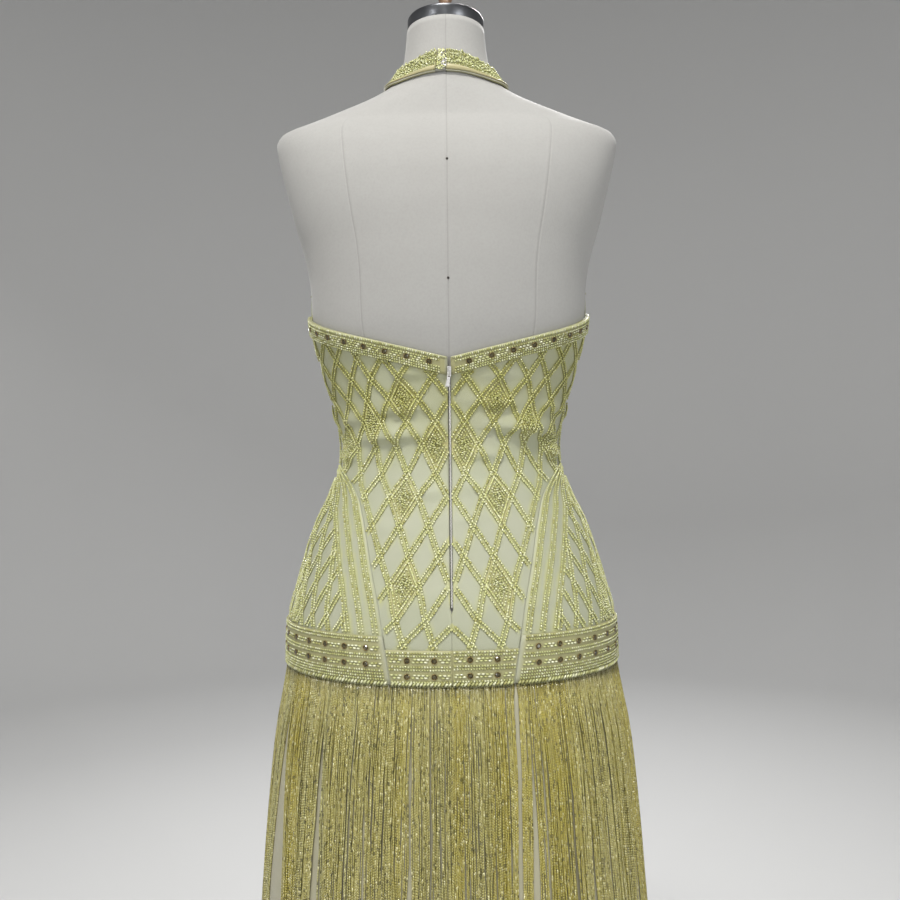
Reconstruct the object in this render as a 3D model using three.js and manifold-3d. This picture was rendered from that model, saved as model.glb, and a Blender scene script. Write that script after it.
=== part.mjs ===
// A halter evening dress on a limbless dress form, modelled in millimetres with +Z up.
// The origin is on the floor, at the centre of the stand's base. The dress faces -Y.
import * as THREE from 'three';
import { mergeVertices } from 'three/addons/utils/BufferGeometryUtils.js';
import Module from 'manifold-3d';

const wasm = await Module();
wasm.setup();

// ---------------------------------------------------------------- driving dimensions

const seam = 0.3;                 // gap between two pieces that are sewn edge to edge
const clearance = 0.9;            // from the form to the cloth
const cloth = 1.2;                // thickness of the beaded satin
const bandThickness = 2.0;        // padded, beaded bands
const bandLift = clearance + cloth + seam;
const fringeThickness = 3.0;

const formBottom = 786;
const formTop = 1506;
const waist = 1045;               // top point of the side gores
const panelBottom = 836;
const hipBandTop = 868;
const sideBandTop = 880;          // the band stands higher on the side gores
const skirtTop = panelBottom - 0.5;
const fringeTop = panelBottom - 1.0;
const skirtHem = 38;
const fringeHem = 52;
const zipBottom = 904;
const zipTop = 1128;
const zipSlot = 1.5;              // half the gap that the zip runs in
const neckDip = 1147;             // back neckline at the centre
const neckSide = 1202;            // back neckline at the side seams
const neckBandHeight = 17;

const columnsPerPanel = 12;
const columnsPerGore = 18;
const skirtColumnAngle = 6;

// Angles run round the body: 90 is the centre back, 0 the wearer's left side, -90 the centre front.

// Sections of the form: the shoulders are wide and flat, the neck is round.
// height, half width, depth at the back, depth at the front, squareness
const formSections = [
  [786, 142, 94, 86, 2.1],
  [791, 156, 105, 96, 2.1],
  [800, 165, 114, 104, 2.1],
  [815, 170, 119, 108, 2.1],
  [833, 172, 121, 110, 2.1],
  [850, 172, 122, 111, 2.1],
  [875, 171, 121, 110, 2.1],
  [904, 165, 117, 108, 2.1],
  [935, 156.5, 108, 104, 2.1],
  [965, 147, 100, 101, 2.1],
  [990, 136.5, 93, 98, 2.1],
  [1012, 126.5, 87, 94, 2.1],
  [1030, 119.5, 83, 92, 2.1],
  [1045, 115.5, 80, 90, 2.1],
  [1060, 114.5, 78.5, 90, 2.1],
  [1075, 116, 78, 91, 2.1],
  [1105, 122.5, 81, 95, 2.1],
  [1125, 128.5, 84, 98, 2.1],
  [1145, 134.5, 88, 102, 2.1],
  [1165, 140, 93, 107, 2.15],
  [1185, 144, 97, 111, 2.2],
  [1205, 146, 99.5, 112.5, 2.2],
  [1228, 147, 101.5, 111, 2.25],
  [1258, 152, 103, 106, 2.3],
  [1290, 161, 103, 100, 2.4],
  [1330, 171, 99, 92, 2.5],
  [1360, 178, 90, 82, 2.5],
  [1380, 181.5, 79, 71, 2.45],
  [1388, 178, 73, 66, 2.4],
  [1394, 164, 69, 63, 2.35],
  [1402, 143, 66, 60, 2.3],
  [1411, 121, 63, 58, 2.2],
  [1420, 99, 60, 55, 2.1],
  [1429, 80, 57, 52, 2.05],
  [1438, 66, 53, 50, 2.0],
  [1449, 55, 49.5, 48, 2.0],
  [1463, 47.5, 46.5, 46, 2.0],
  [1482, 44, 43.5, 43.5, 2.0],
  [1506, 41.5, 41.5, 41.5, 2.0],
];

// Sections of the skirt below the hip band, measured at the inside of the underskirt.
const skirtSections = [
  [811, 176, 126, 115, 2.1],
  [747, 185.5, 135, 126, 2.1],
  [619, 197, 147, 142, 2.1],
  [400, 211, 168, 166, 2.1],
  [skirtHem, 231, 200, 200, 2.1],
];

// The seam of a side gore: height, angle from the side.
const goreSeam = [
  [panelBottom, 70.5],
  [870, 68.5],
  [904, 65.5],
  [938, 61],
  [970, 56],
  [1000, 48.5],
  [1015, 42],
  [1030, 29],
  [waist, 0],
];

// Rows that the body panels share, so that their seams follow one line.
const hipRows = [
  panelBottom, hipBandTop, sideBandTop, zipBottom, 935, 965, 990, 1002, 1012, 1022, 1030, 1035, 1040,
];
const bodiceRows = [waist, 1075, 1105];
const cupRows = [1125, 1145, 1165, 1185, 1205];
const goreTip = 1044;

// Upper edges of one front panel, in steps from the underarm to the shoulder:
// step, height and distance from the centre at the neckline, height and angle at the armhole.
const halterEdges = [
  [0, 1230, 0, 1224, -3],
  [1, 1258, 0, 1243, -20],
  [2, 1288, 0, 1268, -36],
  [3, 1322, 15, 1302, -49],
  [4, 1360, 29, 1343, -58],
  [5, 1398, 38, 1384, -62],
  [6, 1432, 42, 1418, -54],
];
const halterStep = 0.5;

// Edges of one neck strap, from the shoulder round to the centre back:
// angle, height of the upper edge, height of the lower edge.
const strapEdges = [
  [-52, 1432, 1418],
  [-40, 1446, 1428.5],
  [-20, 1456, 1436],
  [5, 1459, 1439],
  [19, 1457, 1437.5],
  [30, 1456, 1436],
  [44, 1457, 1435],
  [58, 1460.4, 1437.4],
  [75, 1464.3, 1440.4],
  [90, 1466, 1441.5],
];
const strapStep = 12;
const strapLift = 1.2;
const strapThickness = 2.2;
const neckTabWidth = 9;

// ---------------------------------------------------------------- small helpers

const radians = THREE.MathUtils.degToRad;
const mix = THREE.MathUtils.lerp;

// A smooth value from one column of a table that is sorted by its first column.
function smoothColumn(table, key, column) {
  const rows = table[0][0] < table[table.length - 1][0] ? table : [...table].reverse();
  const last = rows.length - 1;
  const at = THREE.MathUtils.clamp(key, rows[0][0], rows[last][0]);
  let i = 0;
  while (i < last - 1 && rows[i + 1][0] < at) i += 1;
  const slope = (k) => (rows[k + 1][column] - rows[k][column]) / (rows[k + 1][0] - rows[k][0]);
  const tangent = (k) => {
    if (k === 0) return slope(0);
    if (k === last) return slope(last - 1);
    const before = slope(k - 1);
    const after = slope(k);
    return before * after <= 0 ? 0 : (2 * before * after) / (before + after);
  };
  const span = rows[i + 1][0] - rows[i][0];
  const t = (at - rows[i][0]) / span;
  const a = (2 * t - 3) * t * t + 1;
  const b = ((t - 2) * t + 1) * t * span;
  const c = (3 - 2 * t) * t * t;
  const d = (t - 1) * t * t * span;
  return a * rows[i][column] + b * tangent(i) + c * rows[i + 1][column] + d * tangent(i + 1);
}

// How far a cup stands out at a distance from the centre front and a height,
// as a share of its full depth.
function cupShare(x, z) {
  const spread = 46;
  const apart = 72;
  const apex = 1192;
  const rise = z > apex ? 66 : 50;
  return Math.exp(-(((Math.abs(x) - apart) / spread) ** 2) - (((z - apex) / rise) ** 2));
}

// A body is a function from an angle and a height to a point on its surface.
function bodyFrom(sections, cupDepth) {
  return (angle, z) => {
    const [half, back, front, square] = [1, 2, 3, 4].map((column) => smoothColumn(sections, z, column));
    const c = Math.cos(radians(angle));
    const s = Math.sin(radians(angle));
    const reach = (Math.abs(c) ** square + Math.abs(s) ** square) ** (-1 / square);
    const x = half * reach * c;
    const y = (s > 0 ? back : front) * reach * s;
    return new THREE.Vector3(x, s < 0 ? y + s * cupDepth * cupShare(x, z) : y, z);
  };
}

// A point of a body, moved out along its normal.
function liftedPoint(body, angle, z, lift) {
  const step = 0.5;
  const across = body(angle + step, z).sub(body(angle - step, z));
  const up = body(angle, z + step).sub(body(angle, z - step));
  return body(angle, z).addScaledVector(across.cross(up).normalize(), lift);
}

// The angle that is a distance round the body from another angle.
function angleBeside(body, angle, z, distance) {
  const speed = body(angle + 0.5, z).distanceTo(body(angle - 0.5, z));
  return angle + distance / speed;
}

// A closed solid from points and triangles, with its faces pointing out.
function closedSolid(points, triangles) {
  const volume = triangles.reduce((sum, [a, b, c]) => {
    return sum + points[a].dot(new THREE.Vector3().crossVectors(points[b], points[c]));
  }, 0);
  const faces = volume > 0 ? triangles : triangles.map(([a, b, c]) => [a, c, b]);
  const geometry = new THREE.BufferGeometry().setFromPoints(points);
  geometry.setIndex(faces.flat());
  geometry.computeVertexNormals();
  return geometry;
}

// A wall of cloth between two edges. Each row holds [angle, height] at both edges.
function clothWall(body, rows, columns, lift, thickness) {
  const points = [];
  for (const offset of [lift + thickness, lift]) {
    for (const [from, to] of rows) {
      for (let j = 0; j <= columns; j += 1) {
        const t = j / columns;
        points.push(liftedPoint(body, mix(from[0], to[0], t), mix(from[1], to[1], t), offset));
      }
    }
  }
  const across = columns + 1;
  const skin = rows.length * across;
  const triangles = [];
  const quad = (a, b, c, d) => {
    const shorter = points[a].distanceTo(points[c]) < points[b].distanceTo(points[d]);
    triangles.push(...(shorter ? [[a, b, c], [a, c, d]] : [[b, c, d], [b, d, a]]));
  };
  for (let i = 0; i < rows.length - 1; i += 1) {
    for (let j = 0; j < columns; j += 1) {
      const a = i * across + j;
      quad(a, a + 1, a + across + 1, a + across);
      quad(skin + a, skin + a + across, skin + a + across + 1, skin + a + 1);
    }
  }
  const rim = (a, b) => quad(b, a, skin + a, skin + b);
  for (let j = 0; j < columns; j += 1) {
    rim(j, j + 1);
    rim((rows.length - 1) * across + j + 1, (rows.length - 1) * across + j);
  }
  for (let i = 0; i < rows.length - 1; i += 1) {
    rim((i + 1) * across, i * across);
    rim(i * across + columns, (i + 1) * across + columns);
  }
  return closedSolid(points, triangles);
}

// The same piece for the other side of the body.
function mirrored(geometry) {
  const other = geometry.clone().scale(-1, 1, 1);
  const index = Array.from(other.index.array);
  for (let i = 0; i < index.length; i += 3) [index[i], index[i + 1]] = [index[i + 1], index[i]];
  other.setIndex(index);
  other.computeVertexNormals();
  return other;
}

function toSolid(geometry) {
  const bare = geometry.index ? geometry.toNonIndexed() : geometry.clone();
  bare.deleteAttribute('normal');
  bare.deleteAttribute('uv');
  const merged = mergeVertices(bare, 1e-4);
  return new wasm.Manifold(new wasm.Mesh({
    numProp: 3,
    vertProperties: new Float32Array(merged.attributes.position.array),
    triVerts: new Uint32Array(merged.index.array),
  }));
}

function toGeometry(solid) {
  const mesh = solid.getMesh();
  const geometry = new THREE.BufferGeometry();
  geometry.setAttribute('position', new THREE.BufferAttribute(mesh.vertProperties, 3));
  geometry.setIndex(new THREE.BufferAttribute(mesh.triVerts, 1));
  geometry.computeVertexNormals();
  return geometry;
}

function boxBetween(low, high) {
  const size = high.map((value, i) => value - low[i]);
  const box = new THREE.BoxGeometry(...size);
  return box.translate(...low.map((value, i) => value + size[i] / 2));
}

// A lathe about the vertical axis from [radius, height] pairs.
function turned(profile, segments) {
  const points = profile.map(([radius, height]) => new THREE.Vector2(radius, height));
  return new THREE.LatheGeometry(points, segments).rotateX(Math.PI / 2);
}

// A round wire along points, with softened corners.
function wire(points, radius) {
  const path = new THREE.CatmullRomCurve3(points.map((p) => new THREE.Vector3(...p)), false, 'centripetal');
  const section = new THREE.Shape().absarc(0, 0, radius, 0, Math.PI * 2);
  return new THREE.ExtrudeGeometry(section, { extrudePath: path, steps: 16, curveSegments: 3 });
}

// ---------------------------------------------------------------- materials

function finish(color, roughness, metalness) {
  return new THREE.MeshStandardMaterial({ color, roughness, metalness });
}

const coverCloth = finish(0xdcd9d2, 0.9, 0);
const satin = finish(0xcfd0bd, 0.4, 0);
const beadedSatin = finish(0xc4c684, 0.5, 0);
const beadedBand = finish(0xb4b562, 0.5, 0);
const beadFringe = finish(0xa3a04e, 0.5, 0);
const silver = finish(0xc4c4c2, 0.25, 1);
const darkMetal = finish(0x4a4c50, 0.2, 1);

const dress = new THREE.Group();

function add(name, geometry, material) {
  const mesh = new THREE.Mesh(geometry, material);
  mesh.name = name;
  dress.add(mesh);
  return mesh;
}

function addPair(name, geometry, material) {
  add(`${name}_left`, geometry, material);
  add(`${name}_right`, mirrored(geometry), material);
}

// ---------------------------------------------------------------- dress form and stand

const form = bodyFrom(formSections, 17);

function formSolid() {
  const steps = 48;
  const points = [];
  for (const [z] of formSections) {
    for (let j = 0; j < steps; j += 1) points.push(form((360 * j) / steps, z));
  }
  const triangles = [];
  for (let i = 0; i < formSections.length - 1; i += 1) {
    for (let j = 0; j < steps; j += 1) {
      const a = i * steps + j;
      const b = i * steps + ((j + 1) % steps);
      triangles.push([a, b, b + steps], [a, b + steps, a + steps]);
    }
  }
  const top = (formSections.length - 1) * steps;
  points.push(new THREE.Vector3(0, 0, formBottom), new THREE.Vector3(0, 0, formTop));
  for (let j = 0; j < steps; j += 1) {
    const next = (j + 1) % steps;
    triangles.push([points.length - 2, next, j], [points.length - 1, top + j, top + next]);
  }
  return closedSolid(points, triangles);
}

const capRadius = 41;
const capHeight = 14;
const knobTop = 1562;
const poleRadius = 16;
const baseRadius = 150;
const hubTop = 46;

add('form_body', formSolid(), coverCloth);

const capTop = formTop + capHeight;
add('neck_cap', turned([
  [0, formTop], [capRadius - 1, formTop], [capRadius, formTop + 1],
  [capRadius, capTop - 3], [capRadius - 1, capTop - 1], [capRadius - 3, capTop], [0, capTop],
], 48), darkMetal);

add('neck_knob', turned([
  [0, capTop], [9, capTop], [9, capTop + 3], [6, capTop + 6], [6, knobTop - 20],
  [12, knobTop - 13], [13, knobTop - 8], [11, knobTop - 3], [6, knobTop], [0, knobTop],
], 32), darkMetal);

add('stand_pole', turned([[0, hubTop], [poleRadius, hubTop], [poleRadius, formBottom], [0, formBottom]], 32),
  darkMetal);

add('stand_base', turned([
  [0, 0], [baseRadius - 2, 0], [baseRadius, 2], [baseRadius, 7], [baseRadius - 4, 10],
  [60, 16], [34, 22], [26, 32], [24, hubTop - 1], [23, hubTop], [0, hubTop],
], 64), darkMetal);

// ---------------------------------------------------------------- bodice and gores

// The satin cups stand a little proud of the form's own bust.
const figure = bodyFrom(formSections, 21);
const centreBack = 90;
const centreFront = -90;
const beside = (angle, z, distance) => angleBeside(figure, angle, z, distance);
const goreAngle = (z) => smoothColumn(goreSeam, z, 1);
const slotAt = (z) => (z > zipBottom - 1 ? zipSlot : seam / 2);

// Below the waist a centre panel ends at the gore seam, on the back (+1) or the front (-1).
function hipEdge(z, side) {
  const angle = side * goreAngle(z);
  return [beside(angle, z, (side * seam) / 2), z];
}

function backPanel() {
  const inner = (z) => [beside(centreBack, z, -slotAt(z)), z];
  const rows = hipRows.map((z) => [inner(z), hipEdge(z, 1)]);
  for (const z of bodiceRows) rows.push([inner(z), [beside(0, z, seam / 2), z]]);
  const top = bodiceRows[bodiceRows.length - 1];
  for (const t of [1 / 3, 2 / 3, 1]) {
    const z = mix(top, neckDip, t);
    const side = mix(top, neckSide, t);
    rows.push([inner(z), [beside(0, side, seam / 2), side]]);
  }
  return clothWall(figure, rows, columnsPerPanel, clearance, cloth);
}

function frontPanel() {
  const inner = (z) => [beside(centreFront, z, seam / 2), z];
  const rows = hipRows.map((z) => [inner(z), hipEdge(z, -1)]);
  for (const z of [...bodiceRows, ...cupRows]) rows.push([inner(z), [beside(0, z, -seam / 2), z]]);
  const lastStep = halterEdges[halterEdges.length - 1][0];
  for (let step = 0; step <= lastStep; step += halterStep) {
    const edge = (column) => smoothColumn(halterEdges, step, column);
    const neckZ = edge(1);
    const fromCentre = Math.max(edge(2), seam / 2);
    rows.push([[beside(centreFront, neckZ, fromCentre), neckZ], [edge(4), edge(3)]]);
  }
  return clothWall(figure, rows, columnsPerPanel, clearance, cloth);
}

function sideGore() {
  const rows = hipRows.map((z) => {
    const angle = goreAngle(z);
    return [[beside(angle, z, -seam / 2), z], [beside(-angle, z, seam / 2), z]];
  });
  const lastRow = hipRows[hipRows.length - 1];
  const tip = goreAngle(lastRow) * (waist - goreTip) / (waist - lastRow);
  rows.push([[beside(tip, goreTip, -seam / 2), goreTip], [beside(-tip, goreTip, seam / 2), goreTip]]);
  return clothWall(figure, rows, columnsPerGore, clearance, cloth);
}

addPair('back_panel', backPanel(), beadedSatin);
addPair('front_panel', frontPanel(), beadedSatin);
addPair('side_gore', sideGore(), beadedSatin);

// ---------------------------------------------------------------- bands that lie on the panels

function backNeckBand() {
  const band = (drop) => {
    const centre = neckDip - drop;
    const side = neckSide - drop;
    return [[beside(centreBack, centre, -zipSlot), centre], [beside(0, side, seam / 2), side]];
  };
  const rows = [band(neckBandHeight), band(neckBandHeight / 2), band(0)];
  return clothWall(figure, rows, columnsPerPanel, bandLift, bandThickness);
}

function hipBand(edges, columns, top) {
  const rows = hipRows.filter((z) => z <= top).map(edges);
  return clothWall(figure, rows, columns, bandLift, bandThickness);
}

const backBandEdges = (z) => [[beside(centreBack, z, -seam / 2), z], hipEdge(z, 1)];
const frontBandEdges = (z) => [[beside(centreFront, z, seam / 2), z], hipEdge(z, -1)];
const goreBandEdges = (z) => [
  [beside(goreAngle(z), z, -seam / 2), z],
  [beside(-goreAngle(z), z, seam / 2), z],
];

addPair('neck_band', backNeckBand(), beadedBand);
addPair('hip_band_back', hipBand(backBandEdges, columnsPerPanel, hipBandTop), beadedBand);
addPair('hip_band_side', hipBand(goreBandEdges, columnsPerGore, sideBandTop), beadedBand);
addPair('hip_band_front', hipBand(frontBandEdges, columnsPerPanel, hipBandTop), beadedBand);

// ---------------------------------------------------------------- neck strap and its fastening

function strapRow(angle) {
  return [1, 2].map((edge) => [angle, smoothColumn(strapEdges, angle, edge)]);
}

function strapEndRow(fromCentre) {
  const [, upper, lower] = strapEdges[strapEdges.length - 1];
  return [upper, lower].map((z) => [beside(centreBack, z, -fromCentre), z]);
}

function neckStrap(endGap) {
  const rows = [];
  for (let angle = strapEdges[0][0]; angle < centreBack - strapStep; angle += strapStep) {
    rows.push(strapRow(angle));
  }
  rows.push(strapEndRow(endGap));
  return clothWall(figure, rows, 3, strapLift, strapThickness);
}

function neckTab() {
  const rows = [strapEndRow(neckTabWidth - seam), strapEndRow(seam / 2)];
  return clothWall(figure, rows, 3, strapLift, strapThickness);
}

add('neck_strap_left', neckStrap(neckTabWidth), beadedBand);
add('neck_strap_right', mirrored(neckStrap(seam / 2)), beadedBand);
add('neck_tab', neckTab(), satin);

const hookWire = 0.4;
const hookBend = 1.3;
const bendHeight = 1446;

// A point on the outside of the closed strap, with room for the wire and its seat.
function onStrap(x, z) {
  const lift = strapLift + strapThickness + hookWire + seam;
  return liftedPoint(figure, beside(centreBack, z, -x), z, lift).toArray();
}

// The hook is a J of wire that hangs at the slit.
function neckHook() {
  const [x, y, z] = onStrap(0, bendHeight);
  return wire([
    onStrap(0, bendHeight + 10), onStrap(0, bendHeight + 5), [x, y, z],
    [x, y + hookBend * 0.3, z - hookBend * 0.95], [x, y + hookBend, z - hookBend * 1.3],
    [x, y + hookBend * 1.7, z - hookBend * 0.95], [x, y + hookBend * 2, z],
    [x, y + hookBend * 2, z + 3],
  ], hookWire);
}

// The eye's bar lies in the bend of the hook, and its legs lie on the strap's two ends.
function neckEye() {
  const [, inside, z] = onStrap(0, bendHeight);
  const bar = inside + hookBend;
  const half = 2.6;
  const leg = (side) => [onStrap(side * half, bendHeight + 8), onStrap(side * half, bendHeight + 4)];
  return wire([
    ...leg(-1), [-half, bar, z + 0.4], [-half / 2, bar, z],
    [0, bar, z], [half / 2, bar, z], [half, bar, z + 0.4],
    ...leg(1).reverse(),
  ], hookWire);
}

add('neck_hook', neckHook(), silver);
add('neck_eye', neckEye(), silver);

// ---------------------------------------------------------------- zip

const chainHalf = 1.2;

function zipChain() {
  const heights = [zipBottom + 2, 935, 965, 990, 1012, 1030, waist, 1075, 1105, zipTop];
  const rows = heights.map((z) => {
    return [[beside(centreBack, z, -chainHalf), z], [beside(centreBack, z, chainHalf), z]];
  });
  return clothWall(figure, rows, 2, clearance, cloth);
}

add('zip_chain', zipChain(), silver);

// The slider and its pull are built flat, then leant with the back: local Y points away
// from the body and local Z up along it.
const sliderMiddle = 1134;
const sliderHalfHeight = 5;
const stemHalfWidth = 1.1;
const headHalfWidth = 1.9;
const headBottom = bandLift + bandThickness + 0.6;
const headTop = headBottom + 0.8;
const crownHalfLength = 4.5;
const crownRise = 2.8;
const crownBar = 0.8;
const crownThickness = 0.9;
const crownCorner = 0.9;
const windowHalfLength = 3.1;
const pinLift = headTop + 1.0;
const pinDrop = -2.1;

// The crown is an arch that stands on the head, seen from its side: x is away from the body.
function crownOutline() {
  const foot = headTop - 0.2;
  const top = headTop + crownRise;
  const outline = new THREE.Shape();
  outline.moveTo(foot, -crownHalfLength);
  outline.lineTo(top - crownCorner, -crownHalfLength);
  outline.quadraticCurveTo(top, -crownHalfLength, top, -crownHalfLength + crownCorner);
  outline.lineTo(top, crownHalfLength - crownCorner);
  outline.quadraticCurveTo(top, crownHalfLength, top - crownCorner, crownHalfLength);
  outline.lineTo(foot, crownHalfLength);
  outline.closePath();
  const window = new THREE.Path();
  window.moveTo(headTop, -windowHalfLength);
  window.lineTo(top - crownBar, -windowHalfLength);
  window.lineTo(top - crownBar, windowHalfLength);
  window.lineTo(headTop, windowHalfLength);
  window.closePath();
  outline.holes.push(window);
  return outline;
}

function zipSlider() {
  const stem = boxBetween(
    [-stemHalfWidth, clearance + 0.1, -crownHalfLength],
    [stemHalfWidth, headBottom + 0.2, crownHalfLength],
  );
  const head = boxBetween(
    [-headHalfWidth, headBottom, -sliderHalfHeight],
    [headHalfWidth, headTop, sliderHalfHeight],
  );
  const crown = new THREE.ExtrudeGeometry(crownOutline(), {
    depth: crownThickness, bevelEnabled: false, curveSegments: 4,
  });
  crown.translate(0, 0, -crownThickness / 2);
  crown.applyMatrix4(new THREE.Matrix4().makeBasis(
    new THREE.Vector3(0, 1, 0), new THREE.Vector3(0, 0, 1), new THREE.Vector3(1, 0, 0),
  ));
  return toGeometry(toSolid(stem).add(toSolid(head)).add(toSolid(crown)));
}

const pullHalfWidth = 1.8;
const pullWaist = 1.5;
const pullThickness = 0.9;
const pullLength = 13.2;
const pullTilt = 10;
const pinHalf = 0.45;
const eyeHalfWidth = 1.2;
const eyeLength = 3.4;

// The pull is a flat plate that hangs from the pin at the top of its eye.
function zipPull() {
  const tip = -pullLength;
  const outline = new THREE.Shape();
  outline.moveTo(-pullHalfWidth, pinHalf);
  outline.lineTo(-pullHalfWidth, -eyeLength - 0.6);
  outline.lineTo(-pullWaist, -eyeLength - 1.6);
  outline.lineTo(-pullWaist, tip + 3);
  outline.lineTo(-pullHalfWidth, tip + 0.8);
  outline.quadraticCurveTo(-pullHalfWidth, tip, -pullHalfWidth + 0.8, tip);
  outline.lineTo(pullHalfWidth - 0.8, tip);
  outline.quadraticCurveTo(pullHalfWidth, tip, pullHalfWidth, tip + 0.8);
  outline.lineTo(pullWaist, tip + 3);
  outline.lineTo(pullWaist, -eyeLength - 1.6);
  outline.lineTo(pullHalfWidth, -eyeLength - 0.6);
  outline.lineTo(pullHalfWidth, pinHalf);
  outline.closePath();
  const eye = new THREE.Path();
  eye.moveTo(-eyeHalfWidth, -pinHalf);
  eye.lineTo(eyeHalfWidth, -pinHalf);
  eye.lineTo(eyeHalfWidth, -eyeLength);
  eye.lineTo(-eyeHalfWidth, -eyeLength);
  eye.closePath();
  outline.holes.push(eye);
  const plate = new THREE.ExtrudeGeometry(outline, {
    depth: pullThickness, bevelEnabled: false, curveSegments: 4,
  });
  return plate.translate(0, 0, -pullThickness / 2).rotateX(Math.PI / 2);
}

function leanOfBack(z) {
  const above = figure(centreBack, z + sliderHalfHeight);
  const below = figure(centreBack, z - sliderHalfHeight);
  return -Math.atan2(above.y - below.y, above.z - below.z);
}

const lean = leanOfBack(sliderMiddle);
const zipFrame = new THREE.Group();
zipFrame.position.copy(figure(centreBack, sliderMiddle));
zipFrame.rotation.x = lean;
dress.add(zipFrame);

const slider = new THREE.Mesh(zipSlider(), silver);
slider.name = 'zip_slider';
zipFrame.add(slider);

// The pull hangs plumb from its pin, a little to one side.
const pull = new THREE.Mesh(zipPull(), silver);
pull.name = 'zip_pull';
pull.position.set(0, pinLift, pinDrop);
pull.rotation.set(-lean, radians(-pullTilt), 0);
zipFrame.add(pull);

// ---------------------------------------------------------------- skirt and fringe

const hem = skirtSections[skirtSections.length - 1];
const skirtJoin = [1, 2, 3, 4].map((column) => smoothColumn(formSections, panelBottom, column));
const skirt = bodyFrom([
  hem, ...skirtSections.slice(0, -1).reverse(),
  [panelBottom, skirtJoin[0] + clearance, skirtJoin[1] + clearance, skirtJoin[2] + clearance, skirtJoin[3]],
], 0);
const skirtHeights = [811, 747, 619, 400];

function skirtPiece(fromAngle, toAngle, lift, thickness, top, bottom) {
  const gap = seam / 2;
  const rows = [top, ...skirtHeights, bottom].map((z) => [
    [angleBeside(skirt, fromAngle, z, -gap), z],
    [angleBeside(skirt, toAngle, z, gap), z],
  ]);
  const columns = Math.round((fromAngle - toAngle) / skirtColumnAngle);
  return clothWall(skirt, rows, columns, lift, thickness);
}

addPair('underskirt_back', skirtPiece(centreBack, 0, 0, cloth, skirtTop, skirtHem), satin);
addPair('underskirt_front', skirtPiece(0, centreFront, 0, cloth, skirtTop, skirtHem), satin);

const fringeCuts = [centreBack, 72, 24, -24, -72, centreFront];
const fringeNames = ['fringe_back', 'fringe_side_back', 'fringe_side', 'fringe_side_front', 'fringe_front'];
fringeNames.forEach((name, i) => {
  const [from, to] = [fringeCuts[i], fringeCuts[i + 1]];
  const panel = skirtPiece(from, to, cloth + 0.6, fringeThickness, fringeTop, fringeHem);
  addPair(name, panel, beadFringe);
});

export default dress;
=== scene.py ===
import math
from functools import cache

import bpy
import numpy as np
from mathutils import Matrix, Vector


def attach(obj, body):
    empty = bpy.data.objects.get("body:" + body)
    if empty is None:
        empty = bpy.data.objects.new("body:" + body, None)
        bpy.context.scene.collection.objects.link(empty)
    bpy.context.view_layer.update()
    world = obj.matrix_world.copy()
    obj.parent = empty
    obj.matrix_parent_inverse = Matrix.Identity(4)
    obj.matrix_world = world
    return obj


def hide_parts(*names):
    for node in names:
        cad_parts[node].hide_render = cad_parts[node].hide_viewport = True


# The finish of a beaded, fringed halter dress on its dress form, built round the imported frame.
# The tables are in millimetres and degrees. A mesh is made in metres by mesh_object.
# Angles run round the body: 90 is the centre back, 0 the wearer's left side, -90 the centre front.
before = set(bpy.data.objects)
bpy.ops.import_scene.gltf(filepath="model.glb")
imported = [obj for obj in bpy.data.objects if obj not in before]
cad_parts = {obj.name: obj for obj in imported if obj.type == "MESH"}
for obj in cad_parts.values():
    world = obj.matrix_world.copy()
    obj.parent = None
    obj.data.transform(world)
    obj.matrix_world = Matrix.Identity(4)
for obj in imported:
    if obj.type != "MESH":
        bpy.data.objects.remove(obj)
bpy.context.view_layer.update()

bl_info = {
    "name": "Beaded Halter Dress",
    "version": (1, 0, 0),
    "blender": (4, 5, 0),
    "location": "3D View > Sidebar > Dress",
    "description": "Builds a beaded and fringed halter dress on a dress form",
    "category": "Object",
}

MM = 0.001
# Heights, in metres, between which shade is painted onto the bodice, darker towards the top.
PAINTED_SHADE_HEIGHTS = (1.03, 1.10)
DRESS = "dress_on_form"
PULL = "pull_tab"

# ------------------------ shared sizes

SEAM = 0.3
JOIN = 0.05
CLEARANCE = 0.9
CLOTH = 1.2
CLOTH_TOP = CLEARANCE + CLOTH
BAND_LIFT = CLOTH_TOP + SEAM
BAND_THICKNESS = 2.0
BAND_TOP = BAND_LIFT + BAND_THICKNESS
# Where the middle of a bead sits on the cloth and on a band.
BEAD_SEAT = CLOTH_TOP + 0.9
BAND_SEAT = BAND_TOP + 0.6
PANEL_BOTTOM = 836.0
HIP_BAND_TOP = 868.0
SIDE_BAND_TOP = 880.0
ZIP_BOTTOM = 904.0
ZIP_TOP = 1128.0
ZIP_SLOT = 1.5
WAIST = 1045.0
GORE_TIP = 1044.0
ARMHOLE = 1105.0
NECK_DIP = 1147.0
NECK_SIDE = 1202.0
NECK_BAND_HEIGHT = 17.0
STONE_DROP = 8.3
# The cup of the bust: its height, how far out it is, its half width, and its rise and fall.
CUP = (1192, 72, 46, 66, 50)
SKIRT_HEM = 38.0
FRINGE_HEM = 52.0

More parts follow.
